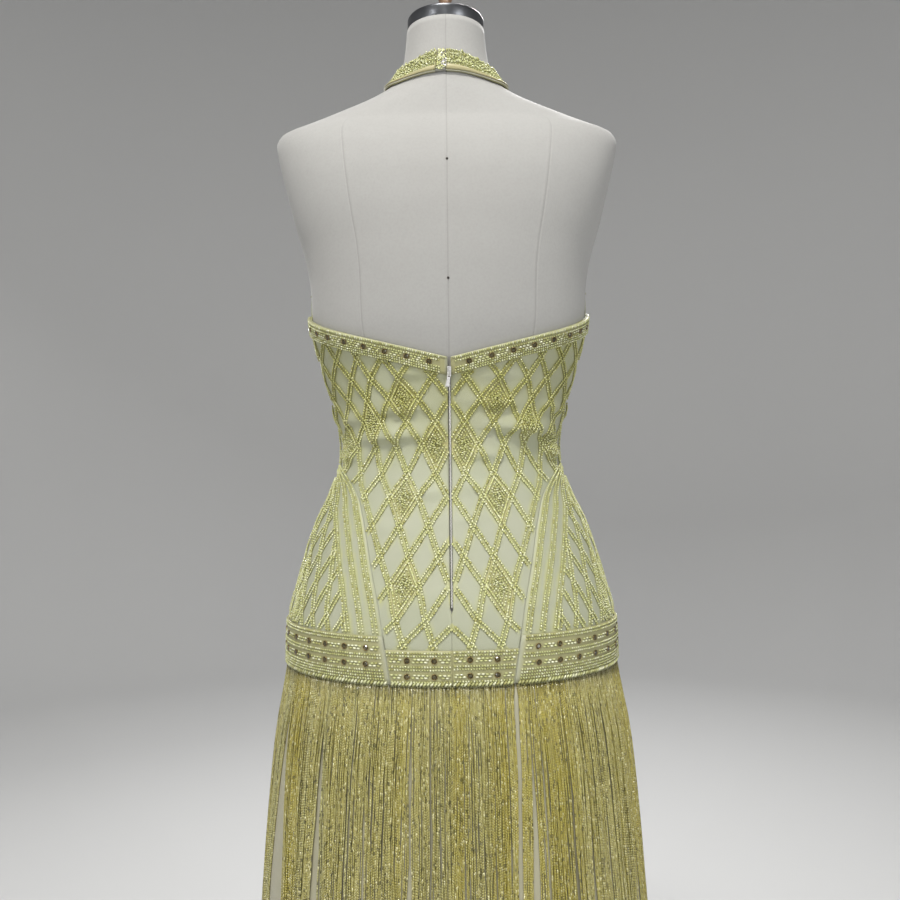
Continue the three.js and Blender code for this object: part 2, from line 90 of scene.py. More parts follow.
# Sections of the form: height, half width, depth at the back, depth at the front, squareness.
FORM_SECTIONS = [
    (786, 142, 94, 86, 2.1), (791, 156, 105, 96, 2.1), (800, 165, 114, 104, 2.1),
    (815, 170, 119, 108, 2.1), (833, 172, 121, 110, 2.1), (850, 172, 122, 111, 2.1),
    (875, 171, 121, 110, 2.1), (904, 165, 117, 108, 2.1), (935, 156.5, 108, 104, 2.1),
    (965, 147, 100, 101, 2.1), (990, 136.5, 93, 98, 2.1), (1012, 126.5, 87, 94, 2.1),
    (1030, 119.5, 83, 92, 2.1), (1045, 115.5, 80, 90, 2.1), (1060, 114.5, 78.5, 90, 2.1),
    (1075, 116, 78, 91, 2.1), (1105, 122.5, 81, 95, 2.1), (1125, 128.5, 84, 98, 2.1),
    (1145, 134.5, 88, 102, 2.1), (1165, 140, 93, 107, 2.15), (1185, 144, 97, 111, 2.2),
    (1205, 146, 99.5, 112.5, 2.2), (1228, 147, 101.5, 111, 2.25), (1258, 152, 103, 106, 2.3),
    (1290, 161, 103, 100, 2.4), (1330, 171, 99, 92, 2.5), (1360, 178, 90, 82, 2.5),
    (1380, 181.5, 79, 71, 2.45), (1388, 178, 73, 66, 2.4), (1394, 164, 69, 63, 2.35),
    (1402, 143, 66, 60, 2.3), (1411, 121, 63, 58, 2.2), (1420, 99, 60, 55, 2.1),
    (1429, 80, 57, 52, 2.05), (1438, 66, 53, 50, 2.0), (1449, 55, 49.5, 48, 2.0),
    (1463, 47.5, 46.5, 46, 2.0), (1482, 44, 43.5, 43.5, 2.0), (1506, 41.5, 41.5, 41.5, 2.0),
]

# Sections of the inside of the underskirt, down from where it joins the panels.
SKIRT_SECTIONS = [
    (836, 172.9, 122.2, 111.2, 2.1), (811, 176, 126, 115, 2.1), (747, 185.5, 135, 126, 2.1),
    (619, 197, 147, 142, 2.1), (400, 211, 168, 166, 2.1), (SKIRT_HEM, 231, 200, 200, 2.1),
]

# The seam of a side gore: height, angle from the side.
GORE_SEAM = [
    (PANEL_BOTTOM, 70.5), (870, 68.5), (904, 65.5), (938, 61), (970, 56),
    (1000, 48.5), (1015, 42), (1030, 29), (WAIST, 0),
]

# Upper edges of a front panel: step, height and distance from the centre at the neckline,
# height and angle at the armhole.
HALTER_EDGES = [
    (0, 1230, 0, 1224, -3), (1, 1258, 0, 1243, -20), (2, 1288, 0, 1268, -36),
    (3, 1322, 15, 1302, -49), (4, 1360, 29, 1343, -58), (5, 1398, 38, 1384, -62),
    (6, 1432, 42, 1418, -54),
]

# Edges of a neck strap: angle, height of the upper edge, height of the lower edge.
STRAP_EDGES = [
    (-52, 1432, 1418), (-40, 1446, 1428.5), (-20, 1456, 1436), (5, 1459, 1439), (19, 1457, 1437.5),
    (30, 1456, 1436), (44, 1457, 1435), (58, 1460.4, 1437.4), (75, 1464.3, 1440.4), (90, 1466, 1441.5),
]
STRAP_LIFT = 1.2
STRAP_THICKNESS = 2.2
STRAP_TOP = STRAP_LIFT + STRAP_THICKNESS
STRAP_MIDDLE = 1455.0
NECK_TAB_WIDTH = 9.0

# Soft folds in the worn cloth: angle, height, half width in degrees, how far it fades above
# and below, how far it stands out, and how much its middle drops for each degree round.
FOLDS = [
    (128, 1077, 18, 13, 5, 9.0, 0.12), (60, 1069, 18, 12, 5, 7.0, -0.12), (112, 1103, 11, 9, 5, 4.4, 0.15),
    (66, 1097, 11, 9, 5, 4.6, -0.1), (73, 1132, 7, 8, 4.5, 3.0, 0), (150, 1099, 9, 8, 5, 3.6, 0.2),
    (36, 1088, 9, 8, 5, 3.6, -0.2), (152, 1053, 11, 7, 5, 3.0, 0.1), (30, 1049, 11, 7, 5, 2.8, 0),
    (107, 1050, 9, 7, 4, 3.0, 0.1), (112, 1130, 8, 8, 5, 2.2, 0), (104, 1018, 8, 5, 4, 1.9, 0.1),
    (80, 1014, 7, 5, 4, 1.8, 0), (97, 987, 7, 4, 3, 1.2, 0), (66, 980, 9, 6, 5, 1.2, -0.1),
    (-48, 1072, 18, 11, 5, 6.4, 0.15), (-72, 1049, 12, 8, 5, 3.4, 0), (-128, 1080, 19, 11, 5, 7.0, -0.15),
    (-150, 1054, 13, 8, 5, 3.6, 0), (-104, 1100, 13, 9, 6, 3.4, 0.1), (-66, 1105, 12, 9, 6, 3.2, 0),
    (0, 1092, 14, 9, 5, 2.8, 0.1), (180, 1094, 14, 9, 5, 3.0, 0.1), (20, 960, 12, 14, 10, 1.2, 0),
    (-160, 955, 14, 14, 9, 1.3, 0), (-80, 1010, 9, 6, 5, 1.8, 0), (-100, 986, 9, 6, 5, 1.5, 0.1),
]

# The trellis of bead lines: rows of crossings by number and height, half the width of a
# diamond by height, and how far the pattern is moved out from the centre by height.
TRELLIS_ROWS = [
    (11, 850), (10, 873), (9, 894), (8, 926), (7, 953), (6, 982), (5, 1010), (4, 1032),
    (3, 1061.5), (2, 1085), (1, 1107), (0, 1128.5), (-1, 1149), (-2, 1171), (-3, 1193),
    (-4, 1216), (-6, 1262), (-8, 1308), (-10, 1354), (-12, 1400), (-14, 1446),
]
TRELLIS_STEP = [
    (840, 14.4), (870, 14.4), (1010, 14.2), (1060, 13.7), (1085, 14.2), (1107, 15.3), (1130, 16.6),
    (1150, 17.2), (1210, 17.6), (1320, 14.5), (1430, 12.5),
]
TRELLIS_DRIFT = [
    (850, 38), (876, 31), (894, 24.5), (926, 16.5), (953, 12), (982, 7), (1010, 3), (1035, 0), (1450, 0),
]
# How many columns the pattern is drawn in by, for the number of a column: above the waist only.
TRELLIS_PINCH = [(0, 0), (3, 0), (5, 0.2), (7, 0.8), (12, 1.3)]
BACK_FILLED = [(3, 1), (1, 3), (3, 5), (2, 8), (6, 2), (9, 3), (8, 6)]
FRONT_FILLED = [(3, 1), (1, 3), (3, 5), (2, 8), (6, 2), (4, -2), (1, -1), (8, -2), (6, -4), (3, -5), (8, 4)]
GORE_FILLED = [(5, 9), (-5, 9), (4, 8), (-4, 8), (1, 9), (-1, 9), (0, 6), (3, 5), (-3, 5)]
GORE_STRIPES = [6.5, 21, 36]
STRIPES_WIDE = 38.5
# Two rows of beads: how far each is from their line, the pitch and the size of a bead.
DOUBLE_ROW = ((-2.0, 2.0), 2.6, 1.4)
# How far the trellis stops from a gore seam, from a plain edge and from a band.
SEAM_GAP = 3.2
EDGE_GAP = 1.4
BAND_GAP = 1.5

# ------------------------ surfaces


def smooth(table, key, column):
    """Smooth values from one column of a table, without overshoot."""
    rows = np.array(sorted(table), float)
    x, y = rows[:, 0], rows[:, column]
    slope = np.diff(y) / np.diff(x)
    before, after = slope[:-1], slope[1:]
    total = np.where(before * after > 0, before + after, 1)
    middle = np.where(before * after > 0, 2 * before * after / total, 0)
    tangent = np.concatenate([slope[:1], middle, slope[-1:]])
    at = np.clip(key, x[0], x[-1])
    i = np.clip(np.searchsorted(x, at) - 1, 0, len(x) - 2)
    span = x[i + 1] - x[i]
    t = (at - x[i]) / span
    near = ((2 * t - 3) * t * t + 1) * y[i] + ((t - 2) * t + 1) * t * span * tangent[i]
    far = (3 - 2 * t) * t * t * y[i + 1] + (t - 1) * t * t * span * tangent[i + 1]
    return near + far


def linear(table, key):
    """Straight-line values from a table of two columns, carried on past its ends."""
    x, y = np.array(sorted(table), float).T
    i = np.clip(np.searchsorted(x, key) - 1, 0, len(x) - 2)
    return y[i] + (y[i + 1] - y[i]) * (key - x[i]) / (x[i + 1] - x[i])


def unit(vectors):
    """Vectors brought to a length of 1."""
    return vectors / np.maximum(np.linalg.norm(vectors, axis=-1, keepdims=True), 1e-9)


def cup_share(x, z):
    """How far a cup stands out, as a share of its depth."""
    height, out, half_width, rise, fall = CUP
    reach = np.where(z > height, rise, fall)
    return np.exp(-(((np.abs(x) - out) / half_width) ** 2) - ((z - height) / reach) ** 2)


def folds(angle, z):
    """How far the soft folds lift the cloth."""
    lift = np.zeros(np.broadcast(angle, z).shape)
    for middle, height, width, above, below, depth, lean in FOLDS:
        turn = (angle - middle + 180) % 360 - 180
        rise = z - height + turn * lean
        lift += depth * np.exp(-((turn / width) ** 2) - (rise / np.where(rise > 0, above, below)) ** 2)
    return lift


class Body:
    """A surface round the body. An angle and a height give a point."""

    def __init__(self, sections, cup_depth=0.0, folded=False):
        self.sections = sections
        self.cup_depth = cup_depth
        self.folded = folded

    def point(self, angle, z):
        angle, z = np.broadcast_arrays(np.asarray(angle, float), np.asarray(z, float))
        half, back, front, square = (smooth(self.sections, z, column) for column in (1, 2, 3, 4))
        c, s = np.cos(np.radians(angle)), np.sin(np.radians(angle))
        reach = (np.abs(c) ** square + np.abs(s) ** square) ** (-1 / square)
        x = half * reach * c
        y = np.where(s > 0, back, front) * reach * s
        y = y + np.where(s < 0, s * self.cup_depth * cup_share(x, z), 0)
        return np.stack([x, y, z], axis=-1)

    def normal(self, angle, z):
        across = self.point(angle + 0.5, z) - self.point(angle - 0.5, z)
        up = self.point(angle, z + 0.5) - self.point(angle, z - 0.5)
        return unit(np.cross(across, up))

    def lifted(self, angle, z, lift):
        angle, z = np.broadcast_arrays(np.asarray(angle, float), np.asarray(z, float))
        lift = np.asarray(lift, float)
        if self.folded:
            lift = lift + folds(angle, z)
        return self.point(angle, z) + self.normal(angle, z) * lift[..., None]

    def beside(self, angle, z, distance):
        """The angle that is a distance round the body from another angle."""
        speed = np.linalg.norm(self.point(angle + 0.5, z) - self.point(angle - 0.5, z), axis=-1)
        return angle + distance / speed


form = Body(FORM_SECTIONS, 17)
figure = Body(FORM_SECTIONS, 21, folded=True)
skirt = Body(SKIRT_SECTIONS)


class Girth:
    """Distances round the figure from the centre back to an angle, and back again."""

    low, high, rise, reach = 826.0, 1440.0, 3.0, 520

    def __init__(self, body):
        self.heights = np.arange(self.low, self.high, self.rise)
        turn = np.arange(0, 181)
        points = body.point(90.0 - turn[None, :], self.heights[:, None])
        steps = np.linalg.norm(np.diff(points, axis=1), axis=-1)
        self.arc = np.concatenate([np.zeros((len(steps), 1)), np.cumsum(steps, axis=1)], axis=1)
        spots = np.arange(self.reach)
        self.turn = np.array([np.interp(spots, row, turn) for row in self.arc])

    def read(self, table, z, column):
        row = np.clip((z - self.low) / self.rise, 0, len(table) - 1.001)
        column = np.clip(column, 0, table.shape[1] - 1.001)
        i, j = row.astype(int), column.astype(int)
        s, t = row - i, column - j
        low = table[i, j] * (1 - t) + table[i, j + 1] * t
        high = table[i + 1, j] * (1 - t) + table[i + 1, j + 1] * t
        return low * (1 - s) + high * s

    def distance(self, angle, z):
        return self.read(self.arc, z, 90.0 - np.asarray(angle, float))

    def angle(self, distance, z):
        return 90.0 - self.read(self.turn, z, np.asarray(distance, float))


girth = Girth(figure)


def facing(angle, mirror):
    """The angle on the wearer's right that matches one on the left."""
    return 180 - np.asarray(angle, float) if mirror else angle


def gore_angle(z):
    """Angle from the side to the seam of a gore."""
    return smooth(GORE_SEAM, z, 1)


def neckline(angle):
    """Height of the back neckline."""
    return NECK_DIP + (NECK_SIDE - NECK_DIP) * (90 - angle) / 90


# ------------------------ meshes


def mesh_object(name, points, faces, smooth_faces=True):
    """A new object at the origin from points in millimetres and faces of one size."""
    points, faces = np.asarray(points, float).reshape(-1, 3), np.asarray(faces)
    mesh = bpy.data.meshes.new(name)
    mesh.vertices.add(len(points))
    mesh.vertices.foreach_set("co", (points * MM).ravel())
    mesh.loops.add(faces.size)
    mesh.loops.foreach_set("vertex_index", faces.ravel())
    mesh.polygons.add(len(faces))
    mesh.polygons.foreach_set("loop_start", np.arange(0, faces.size, faces.shape[1]))
    mesh.polygons.foreach_set("use_smooth", np.full(len(faces), smooth_faces))
    mesh.update(calc_edges=True)
    obj = bpy.data.objects.new(name, mesh)
    bpy.context.scene.collection.objects.link(obj)
    return obj


def add_uv(obj, name, per_vertex=None, per_loop=None):
    """Adds a UV map, given for each vertex or for each corner of a face."""
    layer = obj.data.uv_layers.new(name=name)
    if per_loop is None:
        corner = np.zeros(len(obj.data.loops), int)
        obj.data.loops.foreach_get("vertex_index", corner)
        per_loop = np.asarray(per_vertex)[corner]
    layer.data.foreach_set("uv", np.asarray(per_loop, float).ravel())


def add_values(obj, name, values):
    """Adds a value for each vertex, for a material to read."""
    layer = obj.data.attributes.new(name, "FLOAT", "POINT")
    layer.data.foreach_set("value", np.asarray(values, float).ravel())


def grid_faces(rows, columns, closed=False):
    """Quads of a grid of points, row by row."""
    last = columns if closed else columns - 1
    i, j = np.meshgrid(np.arange(rows - 1), np.arange(last), indexing="ij")
    a, b = i * columns + j, i * columns + (j + 1) % columns
    return np.stack([a, b, b + columns, a + columns], axis=-1).reshape(-1, 4)


def only(obj):
    """Selects one object and makes it active."""
    bpy.ops.object.select_all(action="DESELECT")
    obj.select_set(True)
    bpy.context.view_layer.objects.active = obj
    return obj


def primitive(kind, **settings):
    """Adds a primitive with nothing else selected."""
    bpy.ops.object.select_all(action="DESELECT")
    getattr(bpy.ops.mesh, f"primitive_{kind}_add")(**settings)
    return bpy.context.object


def edit_all(obj):
    """Opens one object in edit mode with all of it selected."""
    only(obj)
    bpy.ops.object.mode_set(mode="EDIT")
    bpy.ops.mesh.select_all(action="SELECT")


def edit_faces(obj, chosen):
    """Opens one object in edit mode with only the chosen faces selected."""
    edit_all(obj)
    bpy.ops.mesh.select_mode(type="FACE")
    bpy.ops.mesh.select_all(action="DESELECT")
    bpy.ops.object.mode_set(mode="OBJECT")
    for face in obj.data.polygons:
        face.select = chosen(face)
    bpy.ops.object.mode_set(mode="EDIT")


def facing_out():
    """Turns all faces outwards and leaves edit mode."""
    bpy.ops.mesh.select_all(action="SELECT")
    bpy.ops.mesh.normals_make_consistent(inside=False)
    bpy.ops.object.mode_set(mode="OBJECT")


def capped(obj):
    """Closes the open ends of a mesh."""
    edit_all(obj)
    bpy.ops.mesh.fill_holes(sides=0)
    facing_out()
    return obj


def template_of(obj):
    """The points and triangles of a shape that is copied. The shape itself is removed."""
    points = np.array([vertex.co for vertex in obj.data.vertices])
    obj.data.calc_loop_triangles()
    triangles = np.array([triangle.vertices for triangle in obj.data.loop_triangles])
    bpy.data.objects.remove(obj)
    return points, triangles


def apply_modifier(obj, kind, **settings):
    """Adds a modifier and applies it."""
    modifier = obj.modifiers.new(kind.title(), kind)
    for key, value in settings.items():
        setattr(modifier, key, value)
    only(obj)
    bpy.ops.object.modifier_apply(modifier=modifier.name)


def finish_piece(obj, material, body=DRESS, nodes=()):
    """Gives a piece its material and body, and hides the nodes that it stands for."""
    obj.data.materials.clear()
    obj.data.materials.append(material)
    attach(obj, body)
    if nodes:
        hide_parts(*nodes)
    return obj


def cloth_rows(edges, columns):
    """Angles and heights of a grid between two edges. A row is angle, height, angle, height."""
    edges = np.array(edges, float)
    t = np.linspace(0, 1, columns)
    angle = edges[:, 0:1] + (edges[:, 2:3] - edges[:, 0:1]) * t
    z = edges[:, 1:2] + (edges[:, 3:4] - edges[:, 1:2]) * t
    return angle, z


def cloth_piece(name, body, angle, z, lift, thickness, mirror=False):
    """A shell of cloth whose outside lies at lift + thickness. Returns it and its cut size."""
    top = body.lifted(facing(angle, mirror), z, lift + thickness)
    faces = grid_faces(*angle.shape)
    corner = top.reshape(-1, 3)[faces]
    outward = np.cross(corner[:, 2] - corner[:, 0], corner[:, 3] - corner[:, 1])
    if (outward[:, :2] * corner.mean(axis=1)[:, :2]).sum() < 0:
        faces = faces[:, ::-1]
    obj = mesh_object(name, top, faces)
    width = np.linalg.norm(np.diff(top, axis=1), axis=-1).sum(axis=1).max()
    length = np.linalg.norm(np.diff(top, axis=0), axis=-1).sum(axis=0).max()
    across = girth.distance(angle, z) if body is figure else np.radians(90 - angle) * 150
    add_uv(obj, "cloth", per_vertex=np.stack([across, z], axis=-1).reshape(-1, 2) * MM)
    area = np.linalg.norm(outward, axis=1).sum() / 2
    return obj, {"flat": (width * MM, length * MM), "area": min(area, width * length) * MM * MM}


def thicken(obj, thickness):
    """Gives a sheet its thickness, inwards from its face."""
    apply_modifier(obj, "SOLIDIFY", thickness=thickness * MM, offset=-1)
    return obj


# ------------------------ beads


def bead_shape(sides, length=1.0):
    """A small bead: a ring of points and two poles, or a short tube when it is long."""
    turn = np.arange(sides) * 2 * math.pi / sides
    ring = np.stack([np.cos(turn) * length, np.sin(turn), np.zeros(sides)], axis=-1)
    points = np.vstack([ring, [[0, 0, 0.85], [0, 0, -0.85]]])
    k = np.arange(sides)
    after = (k + 1) % sides
    top = np.stack([k, after, np.full(sides, sides)], axis=-1)
    under = np.stack([after, k, np.full(sides, sides + 1)], axis=-1)
    return points, np.vstack([top, under])


BEAD_SIDES = 6
SEED_BEAD = bead_shape(BEAD_SIDES)
BUGLE_BEAD = bead_shape(BEAD_SIDES, 2.1)


class Beads:
    """Gathers beads that are sewn on one piece and joins them into one mesh."""

    def __init__(self, seed, mirror=False):
        self.random = np.random.default_rng(seed + mirror)
        self.mirror = mirror
        self.found = []

    def add(self, centre, normal, along, radius=1.1, shape="seed"):
        count = len(centre)
        if count:
            size = radius * self.random.uniform(0.9, 1.08, count)
            shade = self.random.random(count)
            self.found.append((shape, centre, unit(normal), along, size, shade))

    def line(self, body, angle, z, lift, offsets=(0,), pitch=2.3, radius=1.1, keep=None, shape="seed",
             upright=False, slant=0.0):
        """Rows of beads beside a line on a surface, at an even pitch, along it or upright on it."""
        points = body.lifted(facing(angle, self.mirror), z, lift)
        normals = body.normal(facing(angle, self.mirror), z)
        run = np.concatenate([[0], np.cumsum(np.linalg.norm(np.diff(points, axis=0), axis=-1))])
        if run[-1] < pitch:
            return
        for row, offset in enumerate(offsets):
            at = np.arange(pitch * (0.5 + 0.37 * (row % 2)), run[-1], pitch)
            take = lambda values: np.interp(at, run, values)
            centre = np.stack([take(points[:, i]) for i in range(3)], axis=-1)
            normal = unit(np.stack([take(normals[:, i]) for i in range(3)], axis=-1))
            along = unit(np.gradient(centre, axis=0)) if len(at) > 1 else np.tile([0, 0, 1.0], (len(at), 1))
            side = np.cross(normal, along)
            jitter = self.random.normal(0, 0.1, (len(at), 2))
            centre = centre + side * (offset + jitter[:, :1]) + along * jitter[:, 1:]
            on = np.ones(len(at), bool) if keep is None else keep(take(angle), take(z))
            axis = side + along * slant if upright else along
            self.add(centre[on], normal[on], axis[on], radius, shape)

    def make(self, name):
        """One mesh of all the beads. Each has its own cell of the bake map."""
        points, faces, cells, shades, used = [], [], [], [], 0
        grid = math.ceil(math.sqrt(sum(len(part[1]) for part in self.found)))
        for shape, centre, normal, along, size, shade in self.found:
            template, triangles = BUGLE_BEAD if shape == "bugle" else SEED_BEAD
            side = unit(np.cross(normal, along))
            along = np.cross(side, normal)
            axes = np.stack([along, side, normal], axis=1) * size[:, None, None]
            placed = centre[:, None, :] + np.einsum("vk,nkx->nvx", template, axes)
            points.append(placed.reshape(-1, 3))
            index = used + np.arange(len(centre))
            faces.append((triangles[None] + index[:, None, None] * len(template)).reshape(-1, 3))
            flat = template[:, :2] / (np.abs(template[:, :2]).max() * 2.4)
            under = template[triangles].mean(axis=1)[:, 2] < 0
            middle = np.stack([np.where(under, 0.75, 0.25), np.full(len(under), 0.5)], axis=-1)
            corner = flat[triangles] * [0.46, 0.92] + middle[:, None, :]
            origin = np.stack([index % grid, index // grid], axis=-1)
            cells.append(((origin[:, None, None, :] + corner[None]) / grid).reshape(-1, 2))
            shades.append(np.repeat(shade, len(template)))
            used += len(centre)
        obj = mesh_object(name, np.vstack(points), np.vstack(faces))
        add_uv(obj, "OFBake", per_loop=np.vstack(cells))
        add_values(obj, "shade", np.concatenate(shades))
        # the crown marks the top pole of each bead; the material paints the rest of the bead darker as shade
        add_values(obj, "crown", np.tile([0.0] * BEAD_SIDES + [1.0, 0.0], used))
        return obj


# ------------------------ trellis pattern


def pinch(k, z):
    """How many columns a place is drawn in towards the centre."""
    columns, drawn_in = zip(*TRELLIS_PINCH)
    return np.interp(np.abs(k), columns, drawn_in) * np.sign(k) * np.clip((z - 1020) / 40, 0, 1)


def trellis_place(k, j):
    """Distance from the centre and height of a point of the trellis."""
    z = linear(TRELLIS_ROWS, j)
    return (k - pinch(k, z)) * linear(TRELLIS_STEP, z) + linear(TRELLIS_DRIFT, z), z


def diamond(k, j):
    """The two diagonal numbers of a column and a row."""
    return (k + j - 1) / 2, (k - j - 1) / 2


def trellis_uv(distance, z):
    """The two diagonal numbers of a place. Bead lines run where either is whole."""
    heights = [(height, number) for number, height in TRELLIS_ROWS]
    j = linear(heights, z)
    columns = (distance - linear(TRELLIS_DRIFT, z)) / linear(TRELLIS_STEP, z)
    k = columns
    for _ in range(8):
        k = columns + pinch(k, z)
    return np.stack(diamond(k, j), axis=-1)


class Trellis:
    """The trellis on one kind of panel: how a distance across it becomes an angle."""

    def __init__(self, to_angle, to_distance, keep, drift=True):
        self.to_angle = to_angle
        self.to_distance = to_distance
        self.keep = keep
        self.drift = drift

    def place(self, p, q):
        distance, z = trellis_place(p + q + 1, p - q)
        if not self.drift:
            distance = distance - linear(TRELLIS_DRIFT, z)
        return self.to_angle(distance, z), z

    def uv(self, angle, z):
        distance = self.to_distance(angle, z)
        if not self.drift:
            distance = distance + linear(TRELLIS_DRIFT, z)
        return trellis_uv(distance, z)

    def lines(self, beads, lift, reach):
        """Double rows of beads along every line."""
        run = np.linspace(-reach, reach, reach * 60)
        for number in range(-reach, reach + 1):
            still = np.full(len(run), float(number))
            for p, q in ((still, run), (run, still)):
                angle, z = self.place(p, q)
                inside = self.keep(angle, z)
                if not inside.any():
                    continue
                first, last = np.flatnonzero(inside)[[0, -1]]
                part = slice(max(first - 2, 0), last + 3)
                beads.line(figure, angle[part], z[part], lift, *DOUBLE_ROW, self.keep)

    def fill(self, beads, middles, lift):
        """Rings of beads and small raised curls inside some diamonds."""
        for k, j in middles:
            p0, q0 = diamond(k, j)
            for half in (0.42, 0.30, 0.18, 0.07):
                side = np.linspace(-half, half, 24)
                end = np.full(24, half)
                p = np.concatenate([side, end, -side, -end])
                q = np.concatenate([-end, side, end, -side])
                angle, z = self.place(p0 + p, q0 + q)
                beads.line(figure, angle, z, lift, pitch=2.7, radius=1.3, keep=self.keep)
            for turn in range(5):
                spin = np.linspace(0, 1.7 * math.pi, 30) + turn * 1.3
                out = 0.0 if turn == 4 else 0.2
                p = p0 + out * math.cos(turn * math.pi / 2 + 0.4) + 0.085 * np.cos(spin)
                q = q0 + out * math.sin(turn * math.pi / 2 + 0.4) + 0.085 * np.sin(spin)
                angle, z = self.place(p, q)
                beads.line(figure, angle, z, lift + 1.3, pitch=2.4, radius=1.15, keep=self.keep)

    def filled_mask(self, angle, z, middles):
        """1 inside a filled diamond, 0 outside, fading at its edge."""
        spots = self.uv(angle, z)
        mask = np.zeros(spots.shape[:-1])
        for k, j in middles:
            p0, q0 = diamond(k, j)
            away = np.maximum(np.abs(spots[..., 0] - p0), np.abs(spots[..., 1] - q0))
            mask = np.maximum(mask, np.clip((0.64 - away) / 0.12, 0, 1))
        return mask


def clear_of_seam(angle, z, gap):
    """True where a place keeps its distance from the gore seam, above or beside it."""
    seam_distance = girth.distance(gore_angle(z), z)
    return (z > GORE_TIP) | (girth.distance(np.abs(angle), z) < seam_distance - gap)


def on_back(angle, z):
    """True where the trellis may run on a back panel."""
    distance = girth.distance(angle, z)
    side = girth.distance(np.zeros_like(z), z)
    low_part = np.where(z > ZIP_BOTTOM - 4, 3.4, EDGE_GAP)
    return (
        (distance > low_part) & (distance < side - EDGE_GAP) & (z > HIP_BAND_TOP + BAND_GAP)
        & (z < neckline(angle) - NECK_BAND_HEIGHT - 0.5) & clear_of_seam(angle, z, SEAM_GAP)
    )


def halter_edge(z):
    """Angles of the neckline edge and the armhole edge at a height."""
    step = np.linspace(0, 6, 61)
    neck_z, from_centre, arm_z, arm_angle = (smooth(HALTER_EDGES, step, column) for column in (1, 2, 3, 4))
    neck_angle = figure.beside(-90.0, neck_z, from_centre)
    inner = np.interp(z, np.r_[1229, neck_z], np.r_[-90, neck_angle])
    outer = np.interp(z, np.r_[1205, arm_z], np.r_[0, arm_angle])
    return inner, outer


def front_distance(angle, z):
    """Distance from the centre front."""
    return girth.distance(-90.0, z) - girth.distance(angle, z)


def front_angle(distance, z):
    """The angle at a distance from the centre front."""
    return girth.angle(girth.distance(np.full_like(z, -90.0), z) - distance, z)


def on_front(angle, z):
    """True where the trellis may run on a front panel, inside its bead rim."""
    distance = front_distance(angle, z)
    inner, outer = halter_edge(z)
    edge = np.where(z > 1195, 9.5, EDGE_GAP)
    rim = np.where(z > 1229, 9.5, 1.2)
    seam = girth.distance(-gore_angle(z), z)
    return (
        (distance > rim + front_distance(inner, z)) & (z > HIP_BAND_TOP + BAND_GAP) & (z < 1425)
        & (distance < front_distance(outer, z) - edge)
        & ((z > GORE_TIP) | (girth.distance(angle, z) > seam + SEAM_GAP))
    )


def from_side(angle, z):
    """Distance from the side, towards the back where it is below zero."""
    return girth.distance(angle, z) - girth.distance(np.zeros_like(z), z)


def gore_scale(z):
    """How much the stripes draw together toward the tip of a gore."""
    return np.clip(-from_side(gore_angle(z), z) / 88, 0.1, 1)


def on_gore(angle, z):
    """True where the trellis may run on a gore, between its stripes."""
    half = -from_side(gore_angle(z), z)
    return (
        (z > SIDE_BAND_TOP + BAND_GAP) & (z < 1026)
        & (np.abs(from_side(angle, z)) < half - STRIPES_WIDE * gore_scale(z))
    )


back_trellis = Trellis(girth.angle, girth.distance, on_back)
front_trellis = Trellis(front_angle, front_distance, on_front)
gore_trellis = Trellis(
    lambda distance, z: girth.angle(girth.distance(np.zeros_like(z), z) - distance * 0.7 * gore_scale(z), z),
    lambda angle, z: -from_side(angle, z) / (0.7 * gore_scale(z)),
    on_gore, drift=False,
)

# ------------------------ settings


def colour(name, text, default):
    return bpy.props.FloatVectorProperty(
        name=name, description=text, subtype="COLOR", size=3, min=0, max=1, default=default,
    )


class DressColours(bpy.types.PropertyGroup):
    """Colours of the dress and its form."""

    satin: colour("Satin", "Ground cloth of the bodice", (0.40, 0.41, 0.305))
    bead: colour("Bead", "Glass beads of the trellis", (0.66, 0.68, 0.32))
    bead_gold: colour("Gold bead", "Darker beads among them", (0.45, 0.43, 0.15))
    # this colour also tints the painted glow of light through the beads round the bead lines
    stitch_and_glow: colour("Thread", "Stitching under the bead lines", (0.47, 0.475, 0.21))
    fringe: colour("Fringe", "Beads of the fringe", (0.45, 0.405, 0.13))
    fringe_gold: colour("Gold fringe", "Golden bundles of the fringe", (0.455, 0.385, 0.065))
    underskirt: colour("Underskirt", "Satin under the fringe", (0.39, 0.37, 0.26))
    strap_roll: colour("Strap roll", "Satin roll along the neck strap", (0.42, 0.38, 0.20))
    cover: colour("Cover", "Cloth of the dress form", (0.355, 0.35, 0.335))


class DressSizes(bpy.types.PropertyGroup):
    """Sizes of the fringe."""

    strand_size: bpy.props.FloatProperty(
        name="Strand", description="Radius of a fringe strand", default=0.00078, min=0.0004,
        max=0.002, unit="LENGTH", precision=4,
    )
    strand_count: bpy.props.IntProperty(
        name="Strands", description="Fringe strands all round", default=1400, min=100, max=1800,
    )


# ------------------------ material tools


def node(tree, kind, inputs=None, **settings):
    """Adds a shader node. An input takes a value or another node's socket."""
    made = tree.nodes.new(kind)
    for key, value in settings.items():
        setattr(made, key, value)
    for key, value in (inputs or {}).items():
        if isinstance(value, bpy.types.NodeSocket):
            tree.links.new(value, made.inputs[key])
        else:
            made.inputs[key].default_value = value
    return made


def calc(tree, operation, *values):
    """A math node's result."""
    return node(tree, "ShaderNodeMath", dict(enumerate(values)), operation=operation).outputs[0]


def times(tree, first, second):
    """Two values multiplied."""
    return calc(tree, "MULTIPLY", first, second)


def opaque(tone):
    """A colour with full alpha. A node's socket is left as it is."""
    return tone if isinstance(tone, bpy.types.NodeSocket) else (*tone[:3], 1)


def mixed(tree, share, first, second, blend="MIX"):
    """Two colours mixed by a share."""
    inputs = {0: share, 6: opaque(first), 7: opaque(second)}
    return node(tree, "ShaderNodeMix", inputs, data_type="RGBA", blend_type=blend).outputs[2]


def spread(tree, value, low, high, first=0.0, second=1.0):
    """A value carried from one range to another, and held inside it."""
    return node(tree, "ShaderNodeMapRange", {0: value, 1: low, 2: high, 3: first, 4: second}).outputs[0]


